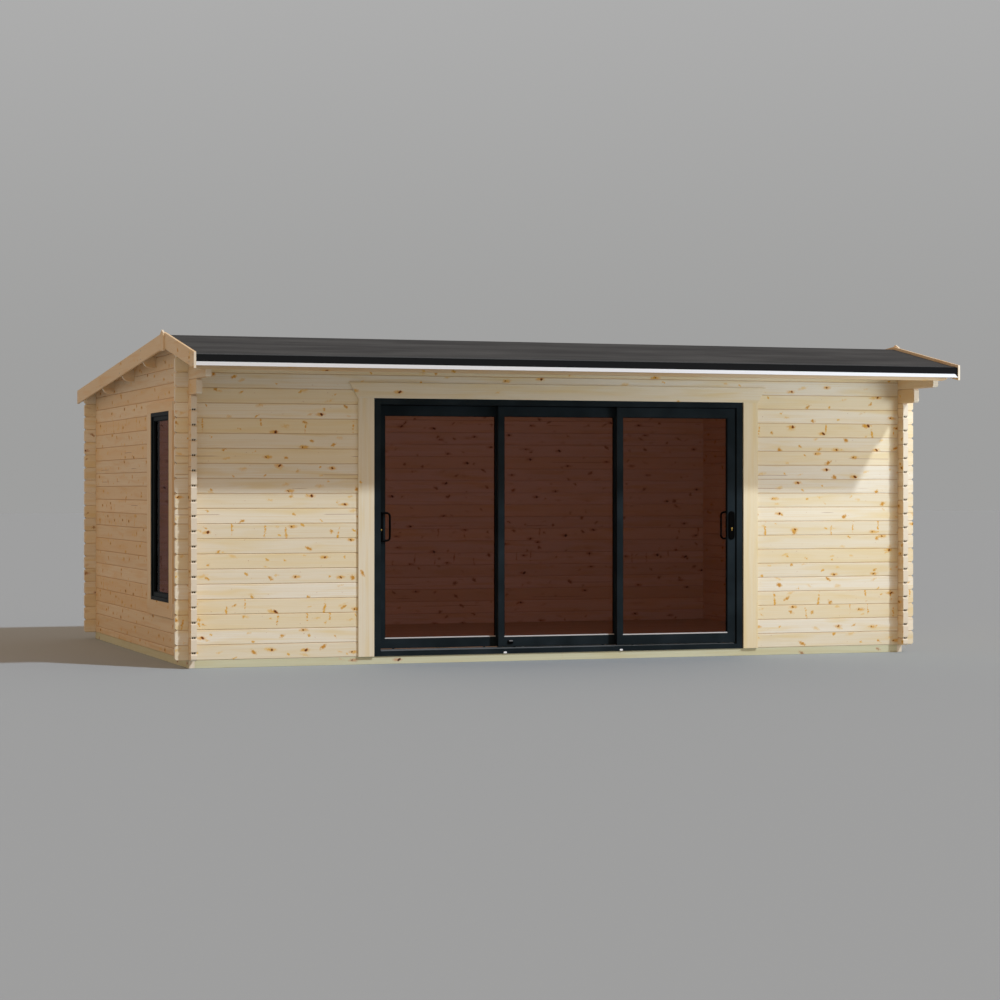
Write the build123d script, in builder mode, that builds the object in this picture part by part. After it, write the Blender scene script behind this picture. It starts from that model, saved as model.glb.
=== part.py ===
"""Log cabin with a three-leaf sliding door, one window and a low uneven gable roof.

Millimetres, +Z up, +X to the right and +Y to the back as seen by someone facing the door.
The origin is on the ground, in the middle of the roof's plan.
"""
import math
import os

from build123d import *

# Walls: interlocking logs that cross at the corners
wall_width = 6000.0
wall_depth = 4050.0
log_thickness = 44.0
log_cover = 114.0
log_play = 0.4
joint_chamfer = 5.0
end_chamfer = 14.0
fin_length = 100.0
corner_play = 0.3
sliver_share = 0.1

# Ground frame and floor
bearer_height = 60.0
bearer_width = 45.0
bearer_inset = 4.0
joist_width = 45.0
joist_spacing = 820.0
floor_thickness = 19.0
floor_edge_gap = 6.0

# Roof
front_overhang = 750.0
back_overhang = 250.0
ridge_setback = 350.0
ridge_underside = 2501.0
front_pitch = 10.65
back_pitch = 4.37
roof_board_thickness = 19.0
membrane_thickness = 4.0

# Purlins and the corbel logs that carry the canopy
purlin_width = 44.0
purlin_height = 114.0
eave_purlin_height = 99.0
purlin_end_radius = 60.0
purlin_play = 0.3
back_purlin_count = 3
upper_corbel_reach = 605.0
lower_corbel_reach = 285.0

# Roof edges
bargeboard_height = 120.0
bargeboard_thickness = 18.0
bargeboard_rise = 22.0
bargeboard_play = 0.4
plate_width = 106.0
plate_thickness = 15.0
plate_rise = 16.0
plate_shoulder_drop = 8.0
plate_drop = 24.0
fascia_thickness = 18.0
fascia_setback = 12.0
trim_thickness = 3.0
trim_height = 50.0
trim_top_flange = 60.0
strip_height = 28.0
strip_thickness = 8.0

# Sliding door: frame with three tracks, one leaf on each
door_width = 3106.0
door_height = 1988.0
door_play = 1.0
door_proud = 5.0
jamb_width = 55.0
head_height = 45.0
sill_height = 43.0
track_lip = 14.0
track_lip_depth = 12.0
track_fin = 6.0
track_rail_width = 8.0
track_rail_height = 5.0
leaf_thickness = 34.0
leaf_gap = 30.0
leaf_clearance = 6.0
lock_stile = 69.0
meeting_stile = 50.0
leaf_rail = 76.0
glass_thickness = 20.0
glass_seat = 12.0
glass_play = 0.3
roller_radius = 10.0
roller_width = 8.0
roller_inset = 140.0
roller_play = 0.3

# Door furniture
handle_height = 1055.0
handle_length = 230.0
handle_reach = 62.0
handle_plate_width = 26.0
handle_plate_thickness = 6.0
handle_bar_width = 12.0
handle_bar_depth = 12.0
handle_corner = 20.0
escutcheon_thickness = 11.0
bolt_knob_radius = 14.0
bolt_knob_sides = 12
bolt_knob_length = 18.0
bolt_knob_inset = 88.0

# Door casing
door_casing_width = 127.0
door_casing_head_width = 120.0
door_casing_thickness = 18.0
door_casing_ear = 72.0

# Window in the left wall
window_width = 726.0
window_height = 1491.0
window_sill_height = 464.0
window_setback = 653.0
window_play = 1.0
window_frame_width = 30.0
window_frame_depth = 66.0
window_frame_proud = 14.0
sash_width = 32.0
sash_depth = 46.0
sash_setback = 12.0
sash_play = 0.3
window_glass_thickness = 20.0
window_casing_width = 140.0
window_casing_head_width = 74.0
window_casing_sill_width = 116.0
window_casing_thickness = 18.0

# Length by which cutting shapes run past what they cut
overrun = 20.0

# Places worked out from the sizes above
log_height = log_cover - log_play
half_log = log_cover / 2
notch_depth = log_cover / 4
roof_depth = front_overhang + wall_depth + back_overhang
roof_front = -roof_depth / 2
roof_back = roof_depth / 2
front_face = roof_front + front_overhang
back_face = front_face + wall_depth
right_face = wall_width / 2
left_face = -right_face
ridge_y = front_face + ridge_setback
roof_half_width = right_face + fin_length + bargeboard_play
floor_top = bearer_height + floor_thickness
door_top = bearer_height + door_height
door_front = front_face - door_proud
track_pitch = leaf_thickness + leaf_gap
frame_depth = 2 * track_lip + 2 * track_pitch + leaf_thickness
clear_half_width = door_width / 2 - jamb_width
leaf_run = 2 * (clear_half_width - leaf_clearance)
leaf_width = (leaf_run + 2 * meeting_stile) / 3
leaf_pitch = leaf_width - meeting_stile
leaf_bottom = bearer_height + sill_height + leaf_clearance
leaf_top = door_top - head_height - leaf_clearance
window_front = front_face + window_setback
window_back = window_front + window_width
window_top = window_sill_height + window_height

os.makedirs("parts", exist_ok=True)


def roof_underside(y):
    """Height of the underside of the roof boards above the ground at depth y."""
    if y < ridge_y:
        return ridge_underside - (ridge_y - y) * math.tan(math.radians(front_pitch))
    return ridge_underside - (y - ridge_y) * math.tan(math.radians(back_pitch))


def plumb(thickness, pitch):
    """Upright thickness of a layer that lies on a slope."""
    return thickness / math.cos(math.radians(pitch))


def save(piece, name):
    """Label a finished piece and write it to its own file."""
    piece.part.label = name
    export_step(piece.part, f"parts/{name}.step")


def slab_x(points, start, finish):
    """Prism along X whose section in Y and Z is the outline through the given points."""
    with BuildPart() as slab:
        with BuildSketch(Plane.YZ.offset(start)):
            with BuildLine():
                Polyline(*points, close=True)
            make_face()
        extrude(amount=finish - start)
    return slab.part


def slab_y(points, start, finish):
    """Prism along Y whose section in X and Z is the outline through the given points."""
    with BuildPart() as slab:
        with BuildSketch(Plane.XZ.offset(-finish)):
            with BuildLine():
                Polyline(*points, close=True)
            make_face()
        extrude(amount=finish - start)
    return slab.part


def block(low, high):
    """Rectangular block between two corners."""
    size = [b - a for a, b in zip(low, high)]
    with BuildPart() as solid:
        with Locations(low):
            Box(*size, align=Align.MIN)
    return solid.part


def pieces(*solids):
    """One node that holds several solids."""
    with BuildPart() as node:
        for solid in solids:
            add(solid)
    return node


# Logs

def log_outline(start, finish, height, crossings, bevels, foot_notches):
    """Side view of a log: notched above and below at each crossing, bevelled at its free ends."""
    reach = log_thickness / 2 + corner_play
    left, right = (end_chamfer if bevel else 0 for bevel in bevels)
    points = [(start + left, 0)]
    for place in crossings if foot_notches else []:
        points += [(place - reach, 0), (place - reach, notch_depth)]
        points += [(place + reach, notch_depth), (place + reach, 0)]
    points += [(finish - right, 0), (finish, right), (finish, height - right), (finish - right, height)]
    for place in reversed(crossings):
        points += [(place + reach, height), (place + reach, height - notch_depth)]
        points += [(place - reach, height - notch_depth), (place - reach, height)]
    points += [(start + left, height), (start, height - left), (start, left)]
    return [point for index, point in enumerate(points) if point != points[index - 1]]


def make_log(start, finish, crossings, bevels=(True, True), height=log_height, foot_notches=True):
    """One log along X, its foot at z = 0 and its front face at y = 0."""
    c = joint_chamfer
    back = log_thickness - c
    top = height - c
    section = [(0, c), (c, 0), (back, 0), (log_thickness, c), (log_thickness, top)]
    section += [(back, height), (c, height), (0, top)]
    with BuildPart() as log:
        with BuildSketch(Plane.XZ.offset(-log_thickness)):
            with BuildLine():
                Polyline(*log_outline(start, finish, height, crossings, bevels, foot_notches), close=True)
            make_face()
        extrude(amount=log_thickness)
        with BuildSketch(Plane.YZ.offset(start)):
            with BuildLine():
                Polyline(*section, close=True)
            make_face()
        extrude(amount=finish - start, mode=Mode.INTERSECT)
    return log.part


def courses_up_to(height, first):
    """Number of log courses between the first one's foot and a height, with no thin sliver on top."""
    return math.ceil((height - first) / log_cover - sliver_share)


# Space above the underside of the roof, which trims what stands under it
above_roof = slab_x(
    [
        (roof_front - overrun, roof_underside(roof_front - overrun)),
        (ridge_y, ridge_underside),
        (roof_back + overrun, roof_underside(roof_back + overrun)),
        (roof_back + overrun, 2 * ridge_underside),
        (roof_front - overrun, 2 * ridge_underside),
    ],
    -roof_half_width - overrun,
    roof_half_width + overrun,
)

# Ground frame: side bearers run through, the front and back ones butt between them in two lengths
bearer_left = left_face + bearer_inset
bearer_front = front_face + bearer_inset
bearer_back = back_face - bearer_inset
side_bearer_end = bearer_left + bearer_width
side_bearers = pieces(
    *(
        block((x, bearer_front, 0), (x + bearer_width, bearer_back, bearer_height))
        for x in (bearer_left, -side_bearer_end)
    )
)
save(side_bearers, "side_bearers")

cross_bearers = pieces(
    *(
        block((start, y, 0), (finish, y + bearer_width, bearer_height))
        for y in (bearer_front, bearer_back - bearer_width)
        for start, finish in ((side_bearer_end, -log_play / 2), (log_play / 2, -side_bearer_end))
    )
)
save(cross_bearers, "cross_bearers")

# Floor: joists between the front and back bearers, and a boarded deck inside the walls
joist_run = wall_width - 2 * (bearer_inset + bearer_width)
joist_count = max(1, round(joist_run / joist_spacing) - 1)
joist_pitch = joist_run / (joist_count + 1)
joist_front = bearer_front + bearer_width
joist_back = bearer_back - bearer_width
floor_joists = pieces(
    *(
        block(
            (side_bearer_end + joist_pitch * (index + 1) - joist_width / 2, joist_front, 0),
            (side_bearer_end + joist_pitch * (index + 1) + joist_width / 2, joist_back, bearer_height),
        )
        for index in range(joist_count)
    )
)
save(floor_joists, "floor_joists")

floor_left = left_face + log_thickness + floor_edge_gap
floor_front = front_face + log_thickness + floor_edge_gap
floor_back = back_face - log_thickness - floor_edge_gap
door_back = door_front + frame_depth
with BuildPart() as floor:
    add(block((floor_left, floor_front, bearer_height), (-floor_left, floor_back, floor_top)))
    add(
        block(
            (-door_width / 2 - floor_edge_gap, floor_front - overrun, bearer_height - overrun),
            (door_width / 2 + floor_edge_gap, door_back + floor_edge_gap, floor_top + overrun),
        ),
        mode=Mode.SUBTRACT,
    )
save(floor, "floor")

# Front wall: short logs beside the doorway, long logs over it
wall_ends = (left_face - fin_length, right_face + fin_length)
front_crossings = [left_face + log_thickness / 2, right_face - log_thickness / 2]
door_half_opening = door_width / 2 + door_play
courses_beside_door = int(door_height // log_cover)
front_courses = courses_up_to(roof_underside(front_face), bearer_height)

left_log = make_log(wall_ends[0], -door_half_opening, front_crossings[:1], (True, False))
with BuildPart() as front_wall_left:
    with Locations(*((0, front_face, bearer_height + log_cover * n) for n in range(courses_beside_door))):
        add(left_log)
save(front_wall_left, "front_wall_left")

right_log = make_log(door_half_opening, wall_ends[1], front_crossings[1:], (False, True))
with BuildPart() as front_wall_right:
    with Locations(*((0, front_face, bearer_height + log_cover * n) for n in range(courses_beside_door))):
        add(right_log)
save(front_wall_right, "front_wall_right")

long_log = make_log(*wall_ends, front_crossings)
doorway = block(
    (-door_half_opening, front_face - overrun, -overrun),
    (door_half_opening, front_face + log_thickness + overrun, door_top + door_play),
)
with BuildPart() as front_wall_over_door:
    upper = range(courses_beside_door, front_courses)
    with Locations(*((0, front_face, bearer_height + log_cover * n) for n in upper)):
        add(long_log)
    add(doorway, mode=Mode.SUBTRACT)
    add(above_roof, mode=Mode.SUBTRACT)
save(front_wall_over_door, "front_wall_over_door")

# Back wall
back_courses = courses_up_to(roof_underside(back_face), bearer_height)
with BuildPart() as back_wall:
    with Locations(
        *((0, back_face - log_thickness, bearer_height + log_cover * n) for n in range(back_courses))
    ):
        add(long_log)
    add(above_roof, mode=Mode.SUBTRACT)
save(back_wall, "back_wall")

# Purlins: boards on edge along the ridge, the back slope and the canopy's edge
purlin_end = roof_half_width
last_support = back_face - log_thickness / 2
purlin_spacing = (last_support - ridge_y) / (back_purlin_count + 1)
eave_purlin_front = front_face - upper_corbel_reach
eave_purlin_foot = roof_underside(eave_purlin_front) - eave_purlin_height


def make_purlin(front, foot):
    """One purlin with its lower end corners rounded and its top planed to the roof."""
    with BuildPart() as purlin:
        with BuildSketch(Plane.XZ.offset(-front - purlin_width)):
            with Locations((0, foot)):
                Rectangle(2 * purlin_end, 2 * purlin_height, align=(Align.CENTER, Align.MIN))
        extrude(amount=purlin_width)
        lower_corners = purlin.edges().filter_by(Axis.Y).group_by(Axis.Z)[0]
        fillet(lower_corners, purlin_end_radius)
        add(above_roof, mode=Mode.SUBTRACT)
    return purlin.part


def purlin_slot(front, foot):
    """Room that the gable logs leave for a purlin."""
    return block(
        (-purlin_end, front - purlin_play, foot - purlin_play),
        (purlin_end, front + purlin_width + purlin_play, foot + 2 * purlin_height),
    )


ridge_purlin_front = ridge_y - purlin_width / 2
purlin_places = [(ridge_purlin_front, ridge_underside - purlin_height)]
for index in range(back_purlin_count):
    purlin_y = ridge_y + purlin_spacing * (index + 1)
    foot = roof_underside(purlin_y + purlin_width / 2) - purlin_height
    purlin_places.append((purlin_y - purlin_width / 2, foot))

ridge_purlin = pieces(make_purlin(*purlin_places[0]))
save(ridge_purlin, "ridge_purlin")
back_purlins = pieces(*(make_purlin(*place) for place in purlin_places[1:]))
save(back_purlins, "back_purlins")
eave_purlin = pieces(make_purlin(eave_purlin_front, eave_purlin_foot))
save(eave_purlin, "eave_purlin")

# Side walls: a half log first, then whole logs, with the two corbel logs reaching out under the canopy
side_foot = bearer_height + half_log
side_courses = courses_up_to(ridge_underside, side_foot)
side_start = front_face - fin_length
side_finish = back_face + fin_length
side_crossings = [front_face + log_thickness / 2, back_face - log_thickness / 2]
upper_corbel = int((eave_purlin_foot - side_foot) // log_cover)
side_log = make_log(side_start, side_finish, side_crossings)
half_side_log = make_log(
    side_start, side_finish, side_crossings, height=half_log - log_play, foot_notches=False
)
upper_corbel_log = make_log(eave_purlin_front, side_finish, side_crossings)
lower_corbel_log = make_log(front_face - lower_corbel_reach, side_finish, side_crossings)
corbel_logs = {upper_corbel: upper_corbel_log, upper_corbel - 1: lower_corbel_log}


def make_side_wall(face):
    """Side wall with its outer or inner face at x = face, cut for the roof and the purlins."""
    with BuildPart() as wall:
        with Locations(Location((face, 0, bearer_height), (0, 0, 90))):
            add(half_side_log)
        for n in range(side_courses):
            with Locations(Location((face, 0, side_foot + log_cover * n), (0, 0, 90))):
                add(corbel_logs.get(n, side_log))
        add(above_roof, mode=Mode.SUBTRACT)
        for place in purlin_places:
            add(purlin_slot(*place), mode=Mode.SUBTRACT)
        add(purlin_slot(eave_purlin_front, eave_purlin_foot), mode=Mode.SUBTRACT)
    return wall.part


window_opening = block(
    (left_face - overrun, window_front - window_play, window_sill_height - window_play),
    (left_face + log_thickness + overrun, window_back + window_play, window_top + window_play),
)
with BuildPart() as left_wall:
    add(make_side_wall(left_face + log_thickness))
    add(window_opening, mode=Mode.SUBTRACT)
save(left_wall, "left_wall")

right_wall = pieces(make_side_wall(right_face))
save(right_wall, "right_wall")

# Roof: a boarded layer on the purlins and a membrane on the boards, one sheet of each on a slope

def slope_layer(eave, pitch, below, thickness):
    """Layer between the eave and the ridge, that high above the underside of the boards."""
    low = plumb(below, pitch)
    high = plumb(below + thickness, pitch)
    points = [(eave, roof_underside(eave) + low), (ridge_y, ridge_underside + low)]
    points += [(ridge_y, ridge_underside + high), (eave, roof_underside(eave) + high)]
    return pieces(slab_x(points, -roof_half_width, roof_half_width))


board_front = roof_front + fascia_setback
board_back = roof_back - fascia_setback
for name, eave, pitch in (("front", board_front, front_pitch), ("back", board_back, back_pitch)):
    roof_boards = slope_layer(eave, pitch, 0, roof_board_thickness)
    save(roof_boards, f"roof_boards_{name}")
    roof_membrane = slope_layer(eave, pitch, roof_board_thickness, membrane_thickness)
    save(roof_membrane, f"roof_membrane_{name}")

# Eaves: a fascia under the boards, a dark metal trim over the edge and a pale strip below it
roof_build = roof_board_thickness + membrane_thickness


def eave_pieces(eave, inward, pitch):
    """Fascia, trim and strip with one slanted end. inward is 1 at the front and -1 at the back."""
    top = roof_underside(eave) + plumb(roof_build, pitch)
    trim_foot = top - trim_height
    strip_foot = trim_foot - strip_height
    inner = eave + inward * fascia_thickness
    outer = eave - inward * trim_thickness
    flange = eave + inward * trim_top_flange
    flange_top = roof_underside(flange) + plumb(roof_build, pitch)
    lift = plumb(trim_thickness, pitch)
    fascia = slab_x(
        [
            (eave, strip_foot),
            (inner, strip_foot),
            (inner, roof_underside(inner)),
            (eave, roof_underside(eave)),
        ],
        -roof_half_width,
        roof_half_width,
    )
    trim = slab_x(
        [
            (eave, strip_foot),
            (eave, top),
            (flange, flange_top),
            (flange, flange_top + lift),
            (outer, top + lift),
            (outer, strip_foot),
        ],
        -roof_half_width,
        roof_half_width,
    )
    face = outer - inward * strip_thickness
    strip = slab_y(
        [
            (-roof_half_width, strip_foot),
            (roof_half_width, strip_foot),
            (roof_half_width - strip_height, trim_foot),
            (-roof_half_width, trim_foot),
        ],
        min(outer, face),
        max(outer, face),
    )
    return fascia, trim, strip


eaves = [eave_pieces(board_front, 1, front_pitch), eave_pieces(board_back, -1, back_pitch)]
for name, group in zip(("eave_fascias", "eave_trims", "eave_strips"), zip(*eaves)):
    save(pieces(*group), name)

# Bargeboards on both gables, with a pointed plate over the joint at the ridge

def bargeboard_top(y, pitch):
    """Height of a bargeboard's upper edge at depth y."""
    return roof_underside(y) + plumb(roof_build, pitch) + bargeboard_rise


def make_bargeboards(eave, pitch):
    """The left and right bargeboards of one slope."""
    ridge_top = bargeboard_top(ridge_y, pitch)
    eave_top = bargeboard_top(eave, pitch)
    points = [(eave, eave_top), (ridge_y, ridge_top)]
    points += [(ridge_y, ridge_top - bargeboard_height), (eave, eave_top - bargeboard_height)]
    outer = roof_half_width + bargeboard_thickness
    return pieces(slab_x(points, -outer, -roof_half_width), slab_x(points, roof_half_width, outer))


front_bargeboards = make_bargeboards(roof_front, front_pitch)
save(front_bargeboards, "front_bargeboards")
back_bargeboards = make_bargeboards(roof_back, back_pitch)
save(back_bargeboards, "back_bargeboards")

ridge_top = bargeboard_top(ridge_y, front_pitch)
plate_half = plate_width / 2
plate_points = [
    (ridge_y - plate_half, ridge_top - bargeboard_height - plate_drop),
    (ridge_y + plate_half, ridge_top - bargeboard_height - plate_drop),
    (ridge_y + plate_half, ridge_top - plate_shoulder_drop),
    (ridge_y, ridge_top + plate_rise),
    (ridge_y - plate_half, ridge_top - plate_shoulder_drop),
]
plate_inner = roof_half_width + bargeboard_thickness
plate_outer = plate_inner + plate_thickness
ridge_plates = pieces(
    slab_x(plate_points, -plate_outer, -plate_inner), slab_x(plate_points, plate_inner, plate_outer)
)
save(ridge_plates, "ridge_plates")

# Door casing: two uprights and a head board with slanted ends
casing_front = front_face - door_casing_thickness
casing_inner = door_width / 2
casing_outer = casing_inner + door_casing_width
door_casing_sides = pieces(
    *(
        block((start, casing_front, bearer_height), (start + door_casing_width, front_face, door_top))
        for start in (-casing_outer, casing_inner)
    )
)
save(door_casing_sides, "door_casing_sides")

casing_head_top = door_top + door_casing_head_width
door_casing_head = pieces(
    slab_y(
        [
            (-casing_outer, door_top),
            (casing_outer, door_top),
            (casing_outer + door_casing_ear, casing_head_top),
            (-casing_outer - door_casing_ear, casing_head_top),
        ],
        casing_front,
        front_face,
    )
)
save(door_casing_head, "door_casing_head")

# Door frame: head, sill and jambs of one section, with a lip each side and a fin between the tracks
fin_places = [
    track_lip + leaf_thickness + leaf_gap / 2 - track_fin / 2 + track_pitch * index for index in range(2)
]


def track_ribs():
    """Start and finish across the frame of the two lips and of the fins between the tracks."""
    ribs = [(0, track_lip)]
    ribs += [(place, place + track_fin) for place in fin_places]
    ribs += [(frame_depth - track_lip, frame_depth)]
    return ribs


def track_section(thickness):
    """Channel section: across the frame, and from its back to the tips of its ribs."""
    points = [(0, 0)]
    base = thickness - track_lip_depth
    for start, finish in track_ribs():
        points += [(start, base), (start, thickness), (finish, thickness), (finish, base)]
    points += [(frame_depth, 0)]
    return [point for index, point in enumerate(points) if point not in points[:index]]


with BuildPart() as door_jambs:
    for side in (-1, 1):
        with BuildSketch(Plane.XY.offset(bearer_height)):
            with BuildLine():
                Polyline(
                    *(
                        (side * (door_width / 2 - depth), door_front + across)
                        for across, depth in track_section(jamb_width)
                    ),
                    close=True,
                )
            make_face()
    extrude(amount=door_height)
save(door_jambs, "door_jambs")

head_half = door_width / 2 - jamb_width
head_points = [(door_front + across, door_top - depth) for across, depth in track_section(head_height)]
door_head = pieces(slab_x(head_points, -head_half, head_half))
save(door_head, "door_head")

sill_base = bearer_height + sill_height - track_rail_height
with BuildPart() as door_sill:
    add(
        block(
            (-head_half, door_front, bearer_height),
            (head_half, door_front + frame_depth, sill_base),
        )
    )
    for index in range(3):
        rail_front = door_front + track_lip + track_pitch * index + (leaf_thickness - track_rail_width) / 2
        add(
            block(
                (-head_half, rail_front, sill_base),
                (head_half, rail_front + track_rail_width, sill_base + track_rail_height),
            )
        )
save(door_sill, "door_sill")

# Leaves: a glazed frame on two rollers. The right leaf is on the front track, the left on the back one

def leaf_place(index):
    """Left edge of a leaf at rest and the front of its track, counted from the left."""
    left = -clear_half_width + leaf_clearance + leaf_pitch * index
    front = door_front + track_lip + track_pitch * (2 - index)
    return left, front


def make_leaf(index):
    """Frame of one leaf with its glazing groove and rollers, and its pane."""
    left, front = leaf_place(index)
    left_stile = lock_stile if index == 0 else meeting_stile
    right_stile = lock_stile if index == 2 else meeting_stile
    height = leaf_top - leaf_bottom
    pane_low = (left + left_stile - glass_seat, 0, leaf_bottom + leaf_rail - glass_seat)
    pane_high = (left + leaf_width - right_stile + glass_seat, 0, leaf_top - leaf_rail + glass_seat)
    pane_front = front + (leaf_thickness - glass_thickness) / 2
    with BuildPart() as frame:
        add(
            block(
                (left, front, leaf_bottom),
                (left + leaf_width, front + leaf_thickness, leaf_bottom + height),
            )
        )
        add(
            block(
                (left + left_stile, front - overrun, leaf_bottom + leaf_rail),
                (left + leaf_width - right_stile, front + leaf_thickness + overrun, leaf_top - leaf_rail),
            ),
            mode=Mode.SUBTRACT,
        )
        add(
            block(
                (pane_low[0] - glass_play, pane_front - glass_play, pane_low[2] - glass_play),
                (pane_high[0] + glass_play, pane_front + glass_thickness + glass_play,
                 pane_high[2] + glass_play),
            ),
            mode=Mode.SUBTRACT,
        )
        roller_height = leaf_bottom - leaf_clearance + roller_play + roller_radius
        middle = front + leaf_thickness / 2
        with BuildSketch(Plane.XZ.offset(-middle - roller_width / 2)):
            with Locations(
                (left + roller_inset, roller_height), (left + leaf_width - roller_inset, roller_height)
            ):
                Circle(roller_radius)
        extrude(amount=roller_width)
    pane = block(
        (pane_low[0], pane_front, pane_low[2]),
        (pane_high[0], pane_front + glass_thickness, pane_high[2]),
    )
    return frame, pieces(pane)


for index, name in enumerate(("left", "middle", "right")):
    leaf_frame, leaf_glass = make_leaf(index)
    save(leaf_frame, f"{name}_leaf_frame")
    save(leaf_glass, f"{name}_leaf_glass")

# Door furniture: on each lock stile a pull on one face and a lock plate on the other

def cut_corners(width, height, corner):
    """Outline of an upright rectangle about its middle, with its corners cut off."""
    x, z = width / 2, height / 2
    points = [(x, z - corner), (x - corner, z), (corner - x, z), (-x, z - corner)]
    return points + [(-a, -b) for a, b in points]


def make_pull(x, face, sideways, outward):
    """Plate on a stile's face and a flat loop on the plate, its grip set off sideways over the glass."""
    width = handle_reach + handle_bar_width
    inner = (width - 2 * handle_bar_width, handle_length - 2 * handle_bar_width)
    with BuildPart() as pull:
        with BuildSketch(Plane.XZ.offset(-face)):
            with Locations((x, handle_height)):
                Rectangle(handle_plate_width, handle_length)
        extrude(amount=-outward * handle_plate_thickness)
        with BuildSketch(Plane.XZ.offset(-face - outward * handle_plate_thickness)):
            with Locations((x + sideways * handle_reach / 2, handle_height)):
                Polygon(*cut_corners(width, handle_length, handle_corner), align=None)
                Polygon(
                    *cut_corners(*inner, handle_corner - handle_bar_width / 2),
                    align=None,
                    mode=Mode.SUBTRACT,
                )
        extrude(amount=-outward * handle_bar_depth)
    return pull.part


def make_lock_plate(x, face, outward):
    """Lock plate with its corners cut off on a stile's other face."""
    with BuildPart() as plate:
        with BuildSketch(Plane.XZ.offset(-face)):
            with Locations((x, handle_height)):
                Polygon(*cut_corners(2 * handle_plate_width, handle_length, handle_corner), align=None)
        extrude(amount=-outward * escutcheon_thickness)
    return plate.part


left_edge, left_track = leaf_place(0)
left_handle_x = left_edge + lock_stile - handle_plate_width
left_leaf_handle = pieces(
    make_pull(left_handle_x, left_track, 1, -1),
    make_lock_plate(left_edge + lock_stile / 2, left_track + leaf_thickness, 1),
)
save(left_leaf_handle, "left_leaf_handle")

right_edge, right_track = leaf_place(2)
right_handle_x = right_edge + leaf_width - lock_stile + handle_plate_width
right_leaf_handle = pieces(
    make_lock_plate(right_edge + leaf_width - lock_stile / 2, right_track, -1),
    make_pull(right_handle_x, right_track + leaf_thickness, -1, 1),
)
save(right_leaf_handle, "right_leaf_handle")

# Foot bolt on the middle leaf's lower rail
middle_edge, middle_track = leaf_place(1)
with BuildPart() as middle_leaf_bolt:
    with BuildSketch(Plane.XZ.offset(-middle_track)):
        with Locations((middle_edge + bolt_knob_inset, leaf_bottom + leaf_rail / 2)):
            RegularPolygon(bolt_knob_radius, bolt_knob_sides)
    extrude(amount=bolt_knob_length)
save(middle_leaf_bolt, "middle_leaf_bolt")

# Window: a fixed frame, a sash in it and a pane, cased outside

def ring_x(outer_low, outer_high, width, start, finish):
    """Rectangular ring in Y and Z, with bars of one width, between two places along X."""
    inner_low = [value + width for value in outer_low]
    inner_high = [value - width for value in outer_high]
    with BuildPart() as ring:
        add(block((start, *outer_low), (finish, *outer_high)))
        add(
            block((start - overrun, *inner_low), (finish + overrun, *inner_high)),
            mode=Mode.SUBTRACT,
        )
    return ring.part


frame_start = left_face - window_frame_proud
window_frame = pieces(
    ring_x(
        (window_front, window_sill_height),
        (window_back, window_top),
        window_frame_width,
        frame_start,
        frame_start + window_frame_depth,
    )
)
save(window_frame, "window_frame")

sash_low = [value + window_frame_width + sash_play for value in (window_front, window_sill_height)]
sash_high = [value - window_frame_width - sash_play for value in (window_back, window_top)]
sash_start = frame_start + sash_setback
pane_start = sash_start + (sash_depth - window_glass_thickness) / 2
pane_low = [value + sash_width - glass_seat for value in sash_low]
pane_high = [value - sash_width + glass_seat for value in sash_high]
with BuildPart() as window_sash:
    add(ring_x(sash_low, sash_high, sash_width, sash_start, sash_start + sash_depth))
    add(
        block(
            (pane_start - glass_play, *(value - glass_play for value in pane_low)),
            (
                pane_start + window_glass_thickness + glass_play,
                *(value + glass_play for value in pane_high),
            ),
        ),
        mode=Mode.SUBTRACT,
    )
save(window_sash, "window_sash")

window_glass = pieces(
    block((pane_start, *pane_low), (pane_start + window_glass_thickness, *pane_high))
)
save(window_glass, "window_glass")

case_start = left_face - window_casing_thickness
case_front = window_front - window_casing_width
case_back = window_back + window_casing_width
window_casing_sides = pieces(
    block((case_start, case_front, window_sill_height), (left_face, window_front, window_top)),
    block((case_start, window_back, window_sill_height), (left_face, case_back, window_top)),
)
save(window_casing_sides, "window_casing_sides")

case_foot = window_sill_height - window_casing_sill_width
case_top = window_top + window_casing_head_width
window_casing_ends = pieces(
    block((case_start, case_front, case_foot), (left_face, case_back, window_sill_height)),
    block((case_start, case_front, window_top), (left_face, case_back, case_top)),
)
save(window_casing_ends, "window_casing_ends")
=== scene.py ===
"""Looks of the log cabin: its materials, the small pieces added to it, the floor, light and camera."""
import math

import bmesh
import bpy
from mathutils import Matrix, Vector


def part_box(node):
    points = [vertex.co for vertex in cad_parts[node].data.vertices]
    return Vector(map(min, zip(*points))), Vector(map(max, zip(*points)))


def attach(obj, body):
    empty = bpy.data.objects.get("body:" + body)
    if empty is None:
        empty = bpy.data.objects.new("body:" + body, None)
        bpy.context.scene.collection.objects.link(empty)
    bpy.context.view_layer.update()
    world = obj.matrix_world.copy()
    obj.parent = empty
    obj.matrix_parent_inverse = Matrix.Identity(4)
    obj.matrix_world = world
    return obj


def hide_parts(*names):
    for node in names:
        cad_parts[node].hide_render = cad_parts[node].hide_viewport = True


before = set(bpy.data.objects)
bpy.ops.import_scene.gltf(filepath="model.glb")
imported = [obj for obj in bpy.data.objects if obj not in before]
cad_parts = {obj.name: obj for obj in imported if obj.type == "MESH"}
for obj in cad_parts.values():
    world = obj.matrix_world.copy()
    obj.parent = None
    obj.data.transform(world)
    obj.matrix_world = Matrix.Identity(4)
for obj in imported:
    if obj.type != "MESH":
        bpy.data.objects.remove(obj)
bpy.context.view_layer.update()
scene = bpy.context.scene
scene.view_settings.view_transform = "Standard"
MM = 0.001

# Ground bearers and joists
# Sawn softwood timbers, pressure treated against rot and laid flat on the ground under walls and floor.
# The salts leave them dull and a little green, with dull brown knots; their arrises are eased.


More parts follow.
